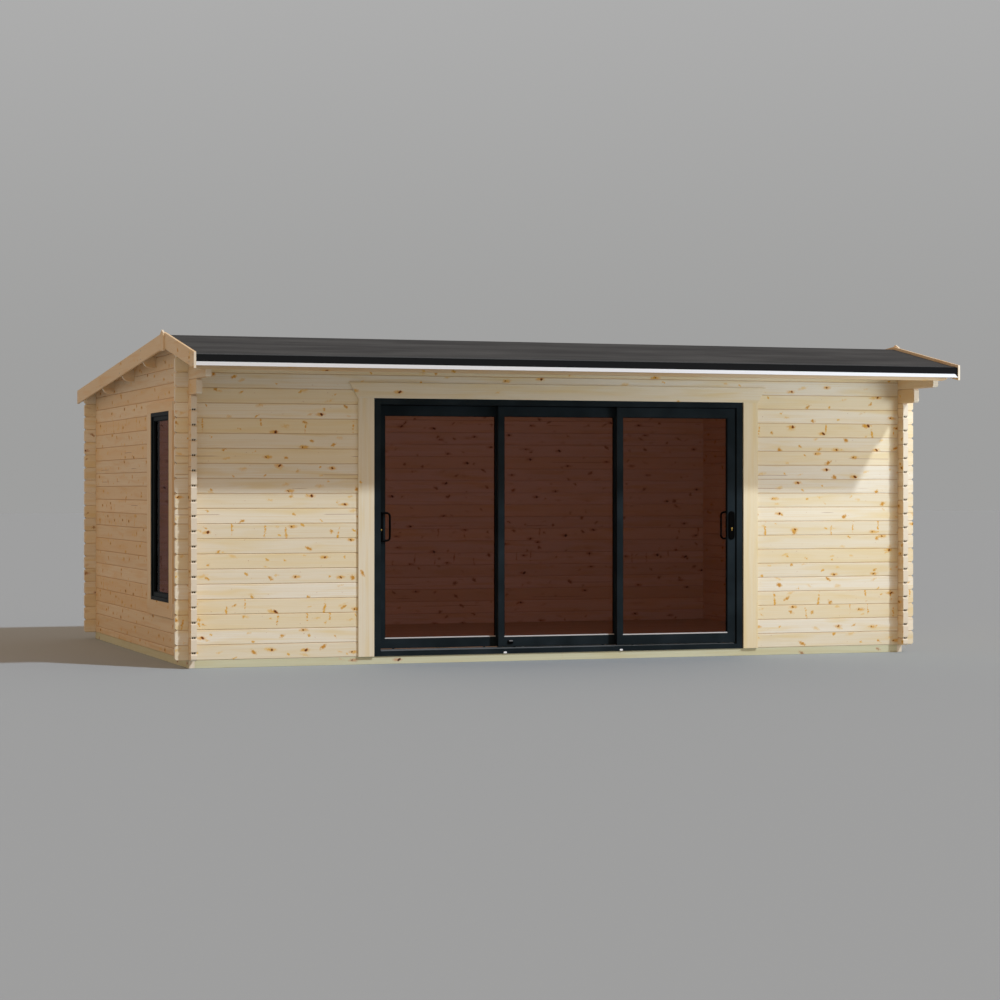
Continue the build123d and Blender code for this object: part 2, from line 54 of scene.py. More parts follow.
def linear(hex_colour):
    """sRGB hex value as a linear colour with alpha."""
    parts = [int(hex_colour[i : i + 2], 16) / 255 for i in (1, 3, 5)]
    return (*(p / 12.92 if p <= 0.04045 else ((p + 0.055) / 1.055) ** 2.4 for p in parts), 1.0)


def node(tree, kind, inputs=(), into=None, **settings):
    """Add a shader node with its settings and links, and give its first output in use.

    inputs holds values or sockets, either in the order of the inputs in use or by name.
    """
    made = tree.nodes.new("ShaderNode" + kind)
    for key, value in settings.items():
        setattr(made, key, value)
    in_use = [socket for socket in made.inputs if socket.enabled]
    pairs = inputs.items() if isinstance(inputs, dict) else enumerate(inputs)
    for key, value in pairs:
        socket = in_use[key] if isinstance(key, int) else made.inputs[key]
        if isinstance(value, bpy.types.NodeSocket):
            tree.links.new(value, socket)
        else:
            socket.default_value = value
    result = next(socket for socket in made.outputs if socket.enabled)
    if into:
        tree.links.new(result, into)
    return result


def surface(name, colour, roughness, specular=0.5, metallic=0.0):
    """Material with one even surface; gives it with its node tree and its shader's sockets."""
    material = bpy.data.materials.new(name)
    material.use_nodes = True
    sockets = material.node_tree.nodes["Principled BSDF"].inputs
    sockets["Base Color"].default_value = linear(colour)
    sockets["Roughness"].default_value = roughness
    sockets["Specular IOR Level"].default_value = specular
    sockets["Metallic"].default_value = metallic
    return material, material.node_tree, sockets


def dress(material, *names):
    """Give CAD pieces a material."""
    for name in names:
        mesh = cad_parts[name].data
        mesh.materials.clear()
        mesh.materials.append(material)


WELD_REACH = 0.02 * MM
EASED_ANGLE = math.radians(40)


def ease(width, *names):
    """Round the sharp edges of CAD pieces a little, as a plane or a mould does."""
    for name in names:
        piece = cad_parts[name]
        weld = piece.modifiers.new("weld", "WELD")
        weld.merge_threshold = WELD_REACH
        rounding = piece.modifiers.new("eased_edges", "BEVEL")
        rounding.width = width
        rounding.segments = 2
        rounding.limit_method = "ANGLE"
        rounding.angle_limit = EASED_ANGLE


# Kinds of knot: how far apart along a row, the share of places that has one, the least and greatest
# radius, how far drawn out across the row, how ragged at the rim, and where its chances start
DARK_KNOT = (350 * MM, 0.42, (5 * MM, 12 * MM), 1.0, 3 * MM, 3.0)
OCHRE_KNOT = (230 * MM, 0.6, (8 * MM, 20 * MM), 0.9, 11 * MM, 57.0)
RESIN_STREAK = (200 * MM, 0.5, (5 * MM, 9 * MM), 6.0, 9 * MM, 91.0)
GOLDEN_STAIN = (310 * MM, 0.55, (14 * MM, 30 * MM), 0.5, 16 * MM, 131.0)
SPECK = (95 * MM, 0.3, (1.6 * MM, 3.6 * MM), 1.0, 1.2 * MM, 203.0)
# Shuffles that give rows, knots, the far wall and the grain of each row other chances
ROW_SHUFFLE = 137.31
CHANCE_SHUFFLE = 17.3
FAR_SHUFFLE = 41.0
GRAIN_SHUFFLE = 7.3
# The share of a row that stays clear of knots, how far they lean, and the distance where there is none
CLEAR_OF_JOINT = 0.08
MOST_LEAN = 0.9
NO_KNOT = 50.0


def knots(tree, rows, kind, knotty):
    """Distance from the nearest knot of a kind in knot radii, where it lies, and its three chances.

    rows holds the run along a row, the rise in it from 0 to 1, its key, a noise that frays the knots,
    and its height. knotty is how many knots there are next to what the kind says.
    """
    run, rise, key, noise, row = rows
    gap, share, radii, tall, ragged, seed = kind
    start = node(tree, "Math", (key, ROW_SHUFFLE, seed), operation="MULTIPLY_ADD")
    lane = node(tree, "Math", (run, 1 / gap, start), operation="MULTIPLY_ADD")
    cell = node(
        tree, "TexVoronoi", {"W": lane, "Scale": 1.0, "Randomness": 0.9}, voronoi_dimensions="1D"
    ).node.outputs
    luck = node(tree, "SeparateColor", (cell["Color"],)).node.outputs
    off_lane = node(tree, "Math", (lane, cell["W"]), operation="SUBTRACT")
    beside = node(tree, "Math", (off_lane, gap), operation="MULTIPLY")
    levels = (-CLEAR_OF_JOINT * row, (CLEAR_OF_JOINT - 1) * row)
    level = node(tree, "MapRange", (luck[1], 0.0, 1.0, *levels))
    above = node(tree, "Math", (rise, row, level), operation="MULTIPLY_ADD")
    mixed_luck = node(tree, "Math", (luck[1], CHANCE_SHUFFLE), operation="MULTIPLY")
    second_luck = node(tree, "Math", (mixed_luck,), operation="FRACT")
    lean = node(tree, "MapRange", (second_luck, 0.0, 1.0, -MOST_LEAN / tall, MOST_LEAN / tall))
    leaned = node(tree, "Math", (above, lean, beside), operation="MULTIPLY_ADD")
    shortened = node(tree, "Math", (above, 1 / tall), operation="MULTIPLY")
    flat = node(tree, "CombineXYZ", (leaned, shortened))
    length = node(tree, "VectorMath", (flat,), operation="LENGTH")
    waver = node(tree, "MapRange", (noise, 0.25, 0.75, -ragged, ragged))
    rim = node(tree, "Math", (length, waver), operation="ADD")
    spread = node(tree, "Math", (luck[2], 2.0), operation="POWER")
    radius = node(tree, "MapRange", (spread, 0.0, 1.0, *radii))
    reach = node(tree, "Math", (rim, radius), operation="DIVIDE")
    missing = node(tree, "Math", (luck[0], share * knotty), operation="GREATER_THAN")
    distance = node(tree, "Math", (missing, NO_KNOT, reach), operation="MULTIPLY_ADD")
    return distance, beside, above, luck


# Tints of knots: the core, rim and smear of dark ones, and the pale and deep tint of ochre ones
FRESH_KNOTS = ("#5A3110", "#AF6412", "#E3AC40", "#EABD58", "#C98716")
DULL_KNOTS = ("#4A2E1C", "#85573A", "#C79C74", "#D6B88F", "#A1764C")
# Drying cracks, the browned joints between rows, and the pale and dark rings of a sawn end
CRACK = "#94572F"
JOINT = "#C08A55"
END_GRAIN = ("#F0E6D2", "#E0CCA8")
# Sizes of the figure in the wood. Growth rings are drawn coarser than real ones, so that they show.
BLOTCH_SIZE = 13 * MM
RING_GAP = 8 * MM
BAND_GAP = 55 * MM
END_RING_GAP = 5 * MM
SMEAR_SHIFT = 15 * MM
SMEAR_REACH = (20 * MM, 3 * MM)
SMEAR_WAVER = 4 * MM
CRACK_RUN = 700 * MM
CRACK_HALF = (2.2 * MM, 0.8 * MM)
JOINT_HALF = (3 * MM, 1 * MM)
RING_DEPTH = 0.6 * MM


def softwood(name, along, across, row, start, tints, knotty=1.0, joint=0.0, knot_tints=FRESH_KNOTS):
    """Softwood with its grain along one axis, in rows of one log or board each across another.

    It gives pale, faintly ringed wood, a little different in each row, with knots, resin and cracks.
    start is where a row begins, and knotty sets how many knots it has next to the cabin's logs.
    joint is how much the joints between rows are browned, by the saw and by resin. tints are the
    early wood, the late wood and a warm cast, and knot_tints are those of its knots.
    """
    early, late, warm = (linear(tint) for tint in tints)
    core_tint, rim_tint, smear_tint, pale_ochre, deep_ochre = (linear(tint) for tint in knot_tints)
    material, tree, sockets = surface(name, tints[0], 0.62, specular=0.3)
    place = node(tree, "TexCoord").node.outputs["Object"]
    axes = node(tree, "SeparateXYZ", (place,)).node.outputs
    depth = axes[next(axis for axis in "XYZ" if axis not in (along, across))]
    height = node(tree, "Math", (axes[across], 1 / row, -start / row), operation="MULTIPLY_ADD")
    course = node(tree, "Math", (height,), operation="FLOOR")
    rise = node(tree, "Math", (height,), operation="FRACT")
    far = node(tree, "Math", (depth, 0.0), operation="GREATER_THAN")
    key = node(tree, "Math", (far, FAR_SHUFFLE, course), operation="MULTIPLY_ADD")
    chance = node(tree, "TexWhiteNoise", (key,), noise_dimensions="1D").node.outputs["Color"]
    row_luck = node(tree, "SeparateColor", (chance,)).node.outputs
    blotch = node(tree, "TexNoise", {"Vector": place, "Scale": 1 / BLOTCH_SIZE, "Detail": 2.0})
    rows = (axes[along], rise, key, blotch, row)

    # Knots: small dark ones, broad ochre ones, streaks of resin, golden stains, and faint specks
    dark, dark_beside, dark_above, dark_luck = knots(tree, rows, DARK_KNOT, knotty)
    ochre, _, _, ochre_luck = knots(tree, rows, OCHRE_KNOT, knotty)
    streak, _, _, _ = knots(tree, rows, RESIN_STREAK, knotty)
    stain, _, _, _ = knots(tree, rows, GOLDEN_STAIN, knotty)
    speck, _, _, _ = knots(tree, rows, SPECK, knotty)

    # Growth rings cut lengthwise, which pass round the dark knots, and broad warm bands among them
    near = node(tree, "MapRange", (dark, 5.0, 0.5), interpolation_type="SMOOTHSTEP")
    pushed = node(tree, "Math", (near, dark_above), operation="MULTIPLY")
    line = node(tree, "Math", (pushed, -0.7, axes[across]), operation="MULTIPLY_ADD")
    lengthwise = node(tree, "Math", (key, GRAIN_SHUFFLE, axes[along]), operation="MULTIPLY_ADD")
    fibres = node(tree, "CombineXYZ", (lengthwise, line, depth))
    drawn = node(tree, "VectorMath", (fibres, (1.2, 1 / RING_GAP, 1 / RING_GAP)), operation="MULTIPLY")
    rings = node(tree, "TexNoise", {"Vector": drawn, "Scale": 1.0, "Detail": 3.0, "Distortion": 0.5})
    broad = node(tree, "VectorMath", (fibres, (1.6, 1 / BAND_GAP, 4.0)), operation="MULTIPLY")
    bands = node(tree, "TexNoise", {"Vector": broad, "Scale": 1.0, "Detail": 2.0, "Distortion": 0.4})
    ring_share = node(tree, "MapRange", (rings, 0.42, 0.75, 0.0, 0.6))
    wood = node(tree, "Mix", (ring_share, early, late), data_type="RGBA")
    band_share = node(tree, "MapRange", (bands, 0.48, 0.72, 0.0, 0.75))
    wood = node(tree, "Mix", (band_share, wood, warm), data_type="RGBA")
    warm_share = node(tree, "MapRange", (row_luck[0], 0.3, 1.0, 0.0, 0.6))
    wood = node(tree, "Mix", (warm_share, wood, warm), data_type="RGBA")
    tone = node(tree, "MapRange", (row_luck[1], 0.0, 1.0, 0.93, 1.03))
    wood = node(tree, "HueSaturation", (0.5, 1.0, tone, 1.0, wood))

    # Golden stains, soft and drawn out along the row
    stain_body = node(tree, "MapRange", (stain, 1.7, 0.1, 0.0, 0.55), interpolation_type="SMOOTHSTEP")
    wood = node(tree, "Mix", (stain_body, wood, pale_ochre), data_type="RGBA")

    # Resin streaks in about a fifth of the rows, broken up along their height, and specks everywhere
    streaky = node(tree, "Math", (row_luck[2], 0.78), operation="GREATER_THAN")
    streak_body = node(tree, "MapRange", (streak, 1.3, 0.35, 0.0, streaky))
    wood = node(tree, "Mix", (streak_body, wood, smear_tint), data_type="RGBA")
    speck_body = node(tree, "MapRange", (speck, 1.2, 0.5, 0.0, 0.6))
    wood = node(tree, "Mix", (speck_body, wood, rim_tint), data_type="RGBA")

    # Ochre knots, paler at the rim
    ochre_body = node(tree, "MapRange", (ochre, 1.6, 0.35, 0.0, 0.95), interpolation_type="SMOOTHSTEP")
    ochre_depth = node(tree, "Math", (ochre_body, ochre_luck[2]), operation="MULTIPLY")
    ochre_tint = node(tree, "Mix", (ochre_depth, pale_ochre, deep_ochre), data_type="RGBA")
    wood = node(tree, "Mix", (ochre_body, wood, ochre_tint), data_type="RGBA")

    # Dark knots with an orange smear drawn out to one side
    shift = node(tree, "MapRange", (dark_luck[2], 0.0, 1.0, -SMEAR_SHIFT, SMEAR_SHIFT))
    slid = node(tree, "Math", (dark_beside, shift), operation="ADD")
    stretched = node(tree, "Math", (slid, 0.38), operation="MULTIPLY")
    smear_place = node(tree, "CombineXYZ", (stretched, dark_above))
    smear_far = node(tree, "VectorMath", (smear_place,), operation="LENGTH")
    there = node(tree, "Math", (dark, 0.8 * NO_KNOT), operation="LESS_THAN")
    smear_waver = node(tree, "MapRange", (blotch, 0.3, 0.7, -SMEAR_WAVER, SMEAR_WAVER))
    smear_rim = node(tree, "Math", (smear_far, smear_waver), operation="ADD")
    smear = node(
        tree, "MapRange", (smear_rim, *SMEAR_REACH, 0.0, there), interpolation_type="SMOOTHSTEP"
    )
    smear_share = node(tree, "Math", (smear, 0.85), operation="MULTIPLY")
    wood = node(tree, "Mix", (smear_share, wood, smear_tint), data_type="RGBA")
    rim = node(tree, "MapRange", (dark, 1.35, 0.9), interpolation_type="SMOOTHSTEP")
    wood = node(tree, "Mix", (rim, wood, rim_tint), data_type="RGBA")
    core = node(tree, "MapRange", (dark, 0.95, 0.55), interpolation_type="SMOOTHSTEP")
    wood = node(tree, "Mix", (core, wood, core_tint), data_type="RGBA")

    # Drying cracks, 2 to 4 mm wide, along parts of a few rows
    cracked_row = node(tree, "Math", (row_luck[2], 0.22), operation="LESS_THAN")
    crack_noise = {"W": lengthwise, "Scale": 1 / CRACK_RUN, "Detail": 1.0}
    crack_run = node(tree, "TexNoise", crack_noise, noise_dimensions="1D")
    crack_part = node(tree, "MapRange", (crack_run, 0.57, 0.61, 0.0, cracked_row))
    crack_level = node(tree, "MapRange", (row_luck[1], 0.0, 1.0, 0.25, 0.75))
    crack_waver = node(tree, "Math", (bands, 0.12, rise), operation="MULTIPLY_ADD")
    crack_off = node(tree, "Math", (crack_waver, crack_level), operation="SUBTRACT")
    crack_far = node(tree, "Math", (crack_off,), operation="ABSOLUTE")
    crack_edges = (half / row for half in CRACK_HALF)
    crack = node(tree, "MapRange", (crack_far, *crack_edges, 0.0, crack_part))
    crack_share = node(tree, "Math", (crack, 0.8), operation="MULTIPLY")
    wood = node(tree, "Mix", (crack_share, wood, linear(CRACK)), data_type="RGBA")

    # Joints between rows, browned for about 2 mm to each side
    to_middle = node(tree, "Math", (rise, 0.5), operation="SUBTRACT")
    off_middle = node(tree, "Math", (to_middle,), operation="ABSOLUTE")
    joint_edges = (0.5 - half / row for half in JOINT_HALF)
    joint_share = node(tree, "MapRange", (off_middle, *joint_edges, 0.0, joint))
    wood = node(tree, "Mix", (joint_share, wood, linear(JOINT)), data_type="RGBA")

    # Sawn ends, pale, with growth rings as arcs
    facing = node(tree, "TexCoord").node.outputs["Normal"]
    turned = node(tree, "SeparateXYZ", (facing,)).node.outputs[along]
    square_on = node(tree, "Math", (turned,), operation="ABSOLUTE")
    end = node(tree, "Math", (square_on, 0.6), operation="GREATER_THAN")
    sag = node(tree, "Math", (off_middle, 2.0), operation="POWER")
    arc_sag = node(tree, "Math", (sag, 45.0), operation="MULTIPLY")
    arc = node(tree, "Math", (depth, 2 * math.pi / END_RING_GAP, arc_sag), operation="MULTIPLY_ADD")
    wave = node(tree, "Math", (arc,), operation="SINE")
    arc_share = node(tree, "MapRange", (wave, -1.0, 1.0, 0.0, 0.6))
    pale_end, dark_end = (linear(tint) for tint in END_GRAIN)
    end_tint = node(tree, "Mix", (arc_share, pale_end, dark_end), data_type="RGBA")
    node(tree, "Mix", (end, wood, end_tint), data_type="RGBA", into=sockets["Base Color"])

    # Planed face: soft early wood a little lower and duller than the late rings
    node(tree, "MapRange", (rings, 0.3, 0.7, 0.68, 0.56), into=sockets["Roughness"])
    relief = {"Strength": 0.35, "Distance": RING_DEPTH, "Height": rings}
    node(tree, "Bump", relief, into=sockets["Normal"])
    return material


TREATED = ("#DEDEC0", "#CCCBA8", "#D4CCA1")
BEARER_ROW = 400 * MM
BEARER_START = -100 * MM
BEARER_ARRIS = 2 * MM
for direction, grain, timbers in (
    ("cross", "X", ("cross_bearers",)), ("side", "Y", ("side_bearers", "floor_joists"))
):
    treated_timber = softwood(
        "treated_spruce_" + direction, grain, "Z", BEARER_ROW, BEARER_START, TREATED,
        knotty=0.4, knot_tints=DULL_KNOTS,
    )
    dress(treated_timber, *timbers)
ease(BEARER_ARRIS, "cross_bearers", "side_bearers")

# Floor
# Planed tongued boards of spruce, nailed across the joists, each with its upper arrises taken off.
# They are laid as separate boards here, in place of the plain deck, and are duller than the walls.


def loft(mesh, rims):
    """Closed skin through equal rims of points, in a mesh under construction."""
    loops = [[mesh.verts.new(spot) for spot in rim] for rim in rims]
    mesh.faces.new(loops[0])
    mesh.faces.new(reversed(loops[-1]))
    for near, far in zip(loops, loops[1:]):
        for this in range(len(near)):
            after = (this + 1) % len(near)
            mesh.faces.new((near[after], near[this], far[this], far[after]))


BOARD_GAP = 0.3 * MM


def lay_boards(name, replaced, end_a, end_b, side, count, arris):
    """Row of boards from end_a to end_b, laid side by side along a vector, in place of a CAD slab.

    Each end is a pair of points, the one on the face that shows first. arris is the bevel there.
    """
    mesh = bmesh.new()
    edge = BOARD_GAP / 2 * count / side.length
    bevel = edge + arris * count / side.length
    thick = arris / (end_a[1] - end_a[0]).length
    profile = (
        (bevel, 0), (1 - bevel, 0), (1 - edge, thick), (1 - edge, 1), (edge, 1), (edge, thick)
    )
    for board in range(count):
        rims = [
            [face + (back - face) * deep + side * ((board + wide) / count) for wide, deep in profile]
            for face, back in (end_a, end_b)
        ]
        loft(mesh, rims)
    return finish_mesh(name, mesh, "cabin", replaced)


def finish_mesh(name, mesh, body, *replaced):
    """Object from a mesh under construction, riding a body, in place of CAD pieces if any are named."""
    bmesh.ops.recalc_face_normals(mesh, faces=mesh.faces)
    data = bpy.data.meshes.new(name)
    mesh.to_mesh(data)
    mesh.free()
    piece = bpy.data.objects.new(name, data)
    scene.collection.objects.link(piece)
    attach(piece, body)
    if replaced:
        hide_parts(*replaced)
    return piece


def fit_out(piece, material):
    """Give an added piece its material."""
    piece.data.materials.append(material)


FLOOR_BOARDS = 34
FLOOR_ARRIS = 2 * MM
SPRUCE_DECK = ("#C8B598", "#B79D78", "#BB9C70")
low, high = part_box("floor")
deck = lay_boards(
    "floor_boards",
    "floor",
    (Vector((low.x, low.y, high.z)), Vector((low.x, low.y, low.z))),
    (Vector((high.x, low.y, high.z)), Vector((high.x, low.y, low.z))),
    Vector((0, high.y - low.y, 0)),
    FLOOR_BOARDS,
    FLOOR_ARRIS,
)
deck_row = (high.y - low.y) / FLOOR_BOARDS
deck_board = softwood(
    "planed_spruce_floor", "X", "Y", deck_row, low.y, SPRUCE_DECK, knotty=0.7, knot_tints=DULL_KNOTS
)
fit_out(deck, deck_board)

# Log walls
# Planed logs of pale, untreated spruce, stacked on tongues and half-lapped at the corners.
# Each log has its own tint and knots, and its sawn end is paler and shows the arcs of the rings.
LOG_COVER = 114 * MM
BEARER_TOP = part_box("side_bearers")[1].z
SIDE_START = BEARER_TOP + LOG_COVER / 2
SPRUCE = ("#F4ECD8", "#E9D7B0", "#EDD7A2")
# Side logs and the boards seen mostly in shade take warmer tints: partly their own tint, partly painted
# shade for the warm cast of shade on them.
SPRUCE_WARMED_FOR_SHADE = ("#EFDAB8", "#E4C394", "#E8C28C")
front_log = softwood("planed_spruce_log_front", "X", "Z", LOG_COVER, BEARER_TOP, SPRUCE, joint=0.45)
back_log = softwood(
    "planed_spruce_log_back", "X", "Z", LOG_COVER, BEARER_TOP, SPRUCE, joint=0.3, knot_tints=DULL_KNOTS
)
side_log = softwood("planed_spruce_log_side", "Y", "Z", LOG_COVER, SIDE_START, SPRUCE_WARMED_FOR_SHADE, joint=0.45)


def two_tints(tree, sockets, pattern, low, high, tint_a, tint_b):
    """Colour that passes from one tint to another as a pattern rises from low to high."""
    share = node(tree, "MapRange", (pattern, low, high))
    tints = (share, linear(tint_a), linear(tint_b))
    node(tree, "Mix", tints, data_type="RGBA", into=sockets["Base Color"])


def mottled(name, tints, size, roughness, specular=0.5, metallic=0.0, detail=2.0, edges=(0.3, 0.7)):
    """Material that passes between two tints and two roughnesses in patches about as wide as size."""
    material, tree, sockets = surface(name, tints[0], roughness[0], specular, metallic)
    place = node(tree, "TexCoord").node.outputs["Object"]
    patches = node(tree, "TexNoise", {"Vector": place, "Scale": 1 / size, "Detail": detail})
    node(tree, "MapRange", (patches, 0.3, 0.7, *roughness), into=sockets["Roughness"])
    two_tints(tree, sockets, patches, *edges, *tints)
    return material


# The tongue and its groove run out at each sawn end as two small mouths in the joint. The wood in them
# is painted dark brown as shade for the deep mouths, dull and rough, with the marks of the cutter about
# 4 mm apart.
MOUTH_WIDTH = 10 * MM
MOUTH_SPACING = 15 * MM
MOUTH_BELOW = 4 * MM
MOUTH_ABOVE = 9 * MM
MOUTH_DEPTH = 40 * MM
FREE_END = 1800 * MM
MILL_MARK = 4 * MM
MOUTH_PAINTED_SHADE = ("#5E3D20", "#7E5834")
mouth_painted_shade = mottled("groove_mouth_painted_shade", MOUTH_PAINTED_SHADE, MILL_MARK, (0.75, 0.9), specular=0.1)


def log_shells(name, start):
    """Welded copy of a wall's mesh, log by log, and the reach of each log along each axis."""
    mesh = bmesh.new()
    mesh.from_mesh(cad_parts[name].data)
    logs = {}
    for face in mesh.faces:
        height = face.calc_center_median().z - face.normal.z * MM
        logs.setdefault(math.floor((height - start) / LOG_COVER), set()).update(face.verts)
    reach = {}
    for course, verts in logs.items():
        spots = [vert.co for vert in verts]
        reach[course] = [
            (min(spot[axis] for spot in spots), max(spot[axis] for spot in spots)) for axis in (0, 1)
        ]
        bmesh.ops.remove_doubles(mesh, verts=list(verts), dist=WELD_REACH)
    return mesh, reach


def cut_mouths(name, material, along, start):
    """Wall in place of its CAD piece, with the groove mouths cut into the free ends of its logs."""
    shells, reach = log_shells(name, start)
    across = 1 - along
    outline = ((-1, -MOUTH_BELOW), (1, -MOUTH_BELOW), (1, MOUTH_ABOVE), (-1, MOUTH_ABOVE))
    cutter = bmesh.new()
    for course in sorted(reach):
        if course + 1 not in reach:
            continue
        joint = start + (course + 1) * LOG_COVER
        for side, inward in ((0, 1), (1, -1)):
            end = reach[course][along][side]
            if abs(end) < FREE_END or abs(end - reach[course + 1][along][side]) > MM:
                continue
            middle = sum(reach[course][across]) / 2
            for offset in (-MOUTH_SPACING / 2, MOUTH_SPACING / 2):
                rims = []
                for run in (end - inward * MOUTH_DEPTH / 4, end + inward * MOUTH_DEPTH):
                    rim = []
                    for way, up in outline:
                        spot = Vector((0, 0, joint + up))
                        spot[along] = run
                        spot[across] = middle + offset + way * MOUTH_WIDTH / 2
                        rim.append(spot)
                    rims.append(rim)
                loft(cutter, rims)
    bmesh.ops.recalc_face_normals(cutter, faces=cutter.faces)
    # The cut faces take the second material: the painted shade of the mouths.
    for face in cutter.faces:
        face.material_index = 1
    wall = finish_mesh(name + "_grooved", shells, "cabin", name)
    tool_data = bpy.data.meshes.new("mouths")
    cutter.to_mesh(tool_data)
    cutter.free()
    tool = bpy.data.objects.new("mouths", tool_data)
    scene.collection.objects.link(tool)
    for data in (wall.data, tool_data):
        data.materials.append(material)
        data.materials.append(mouth_painted_shade)
    cut = wall.modifiers.new("mouths", "BOOLEAN")
    cut.operation = "DIFFERENCE"
    cut.solver = "MANIFOLD"
    cut.object = tool
    bpy.context.view_layer.update()
    carved = bpy.data.meshes.new_from_object(wall.evaluated_get(bpy.context.evaluated_depsgraph_get()))
    wall.modifiers.clear()
    wall.data = carved
    bpy.data.objects.remove(tool)


for name, material in (
    ("front_wall_left", front_log), ("front_wall_right", front_log), ("back_wall", back_log)
):
    cut_mouths(name, material, 0, BEARER_TOP)
for name in ("left_wall", "right_wall"):
    cut_mouths(name, side_log, 1, SIDE_START)
dress(front_log, "front_wall_over_door")

# Purlins
# Planed spruce boards on edge with rounded ends, housed in the gable logs. A row of knots as broad as
# LONE_ROW holds a whole board, so that no joint is drawn on it.
LONE_ROW = 600 * MM
EAVE_START = 1900 * MM
PLANED_ARRIS = 2 * MM
purlin_board = softwood("planed_spruce_purlin", "X", "Z", LONE_ROW, EAVE_START, SPRUCE_WARMED_FOR_SHADE)
dress(purlin_board, "ridge_purlin", "back_purlins", "eave_purlin")
ease(PLANED_ARRIS, "ridge_purlin", "back_purlins", "eave_purlin")

# Roof boards
# Narrow tongued boards from the ridge to the eave, nailed to the purlins, with a V joint below.
# They are laid as separate boards here, in place of the plain slabs.
ROOF_BOARDS = 70
ROOF_ARRIS = 3 * MM
SAME_EDGE = 0.1 * MM


def slope_ends(name):
    """The front and back end of a roof slab's left edge, each as its lower and its upper point."""
    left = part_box(name)[0].x
    points = {
        (round(vert.co.y, 4), round(vert.co.z, 4))
        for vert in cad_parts[name].data.vertices
        if abs(vert.co.x - left) < SAME_EDGE
    }
    spots = [Vector((left, y, z)) for y, z in sorted(points)]
    return spots[:2], spots[2:]


for slope in ("front", "back"):
    slab = "roof_boards_" + slope
    low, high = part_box(slab)
    board_row = (high.x - low.x) / ROOF_BOARDS
    front_end, back_end = slope_ends(slab)
    side = Vector((high.x - low.x, 0, 0))
    laid = lay_boards(slab + "_laid", slab, front_end, back_end, side, ROOF_BOARDS, ROOF_ARRIS)
    roof_board = softwood(
        "planed_spruce_roof_" + slope, "Y", "X", board_row, low.x, SPRUCE_WARMED_FOR_SHADE, knotty=0.7
    )
    fit_out(laid, roof_board)

# Roof covering
# One rubber sheet to a slope, glued to the boards: dull dark grey, with long cloudy marks from the
# roller, and a fine grain that is drawn 6 mm wide so that it shows.
ROLLER_MARK = (900 * MM, 160 * MM)
SHEET_GRAIN = 6 * MM
SHEET_RELIEF = 0.5 * MM
membrane, tree, sockets = surface("epdm_roof_sheet", "#424242", 0.75, specular=0.12)
place = node(tree, "TexCoord").node.outputs["Object"]
mark_scale = (1 / ROLLER_MARK[0], 1 / ROLLER_MARK[1], 1.0)
long_marks = node(tree, "VectorMath", (place, mark_scale), operation="MULTIPLY")
clouds = node(tree, "TexNoise", {"Vector": long_marks, "Scale": 1.0, "Detail": 6.0, "Roughness": 0.6})
two_tints(tree, sockets, clouds, 0.35, 0.7, "#393939", "#4A4A49")
node(tree, "MapRange", (clouds, 0.3, 0.7, 0.82, 0.66), into=sockets["Roughness"])
sheet_grain = node(tree, "TexNoise", {"Vector": place, "Scale": 1 / SHEET_GRAIN, "Detail": 2.0})
relief = {"Strength": 0.3, "Distance": SHEET_RELIEF, "Height": sheet_grain}
node(tree, "Bump", relief, into=sockets["Normal"])
dress(membrane, "roof_membrane_front", "roof_membrane_back")

# Eave edges
# A planed fascia, a folded metal trim stove-enamelled black over its top, and a white strip below.
# Enamel gives an even, low sheen with a faint orange-peel ripple, drawn 8 mm wide so that it shows.
RIPPLE_WIDTH = 8 * MM
RIPPLE_DEPTH = 0.2 * MM
METAL_ARRIS = 0.8 * MM


def enamel(name, colour, specular):
    """Stove enamel, or a coat or nylon that looks like it: even colour, low sheen, faint ripple."""
    material, tree, sockets = surface(name, colour, 0.45, specular=specular)
    place = node(tree, "TexCoord").node.outputs["Object"]
    ripple = node(tree, "TexNoise", {"Vector": place, "Scale": 1 / RIPPLE_WIDTH, "Detail": 1.0})
    node(tree, "MapRange", (ripple, 0.3, 0.7, 0.4, 0.52), into=sockets["Roughness"])
    relief = {"Strength": 0.15, "Distance": RIPPLE_DEPTH, "Height": ripple}
    node(tree, "Bump", relief, into=sockets["Normal"])
    return material


fascia_board = softwood("planed_spruce_fascia", "X", "Z", LONE_ROW, EAVE_START, SPRUCE_WARMED_FOR_SHADE)
dress(fascia_board, "eave_fascias")
ease(PLANED_ARRIS, "eave_fascias")
dress(enamel("black_enamelled_trim", "#0C0C0D", 0.2), "eave_trims")
dress(enamel("white_enamelled_strip", "#EDEFF0", 0.4), "eave_strips")
ease(METAL_ARRIS, "eave_strips")

# Bargeboards and ridge plates
# Planed spruce boards nailed to the purlin ends at each gable, with a pointed plate over their joint.
# They are as pale as the gable logs, with the grain along each board and upright on the plates.
BARGE_START = 1950 * MM
PLATE_START = -1800 * MM
BARGE_ARRIS = 2.5 * MM
barge_board = softwood("planed_spruce_bargeboard", "Y", "Z", LONE_ROW, BARGE_START, SPRUCE_WARMED_FOR_SHADE)
plate_board = softwood(
    "planed_spruce_ridge_plate", "Z", "Y", LONE_ROW, PLATE_START, SPRUCE_WARMED_FOR_SHADE, knotty=0.5
)
dress(barge_board, "front_bargeboards", "back_bargeboards")
dress(plate_board, "ridge_plates")
ease(BARGE_ARRIS, "front_bargeboards", "back_bargeboards", "ridge_plates")

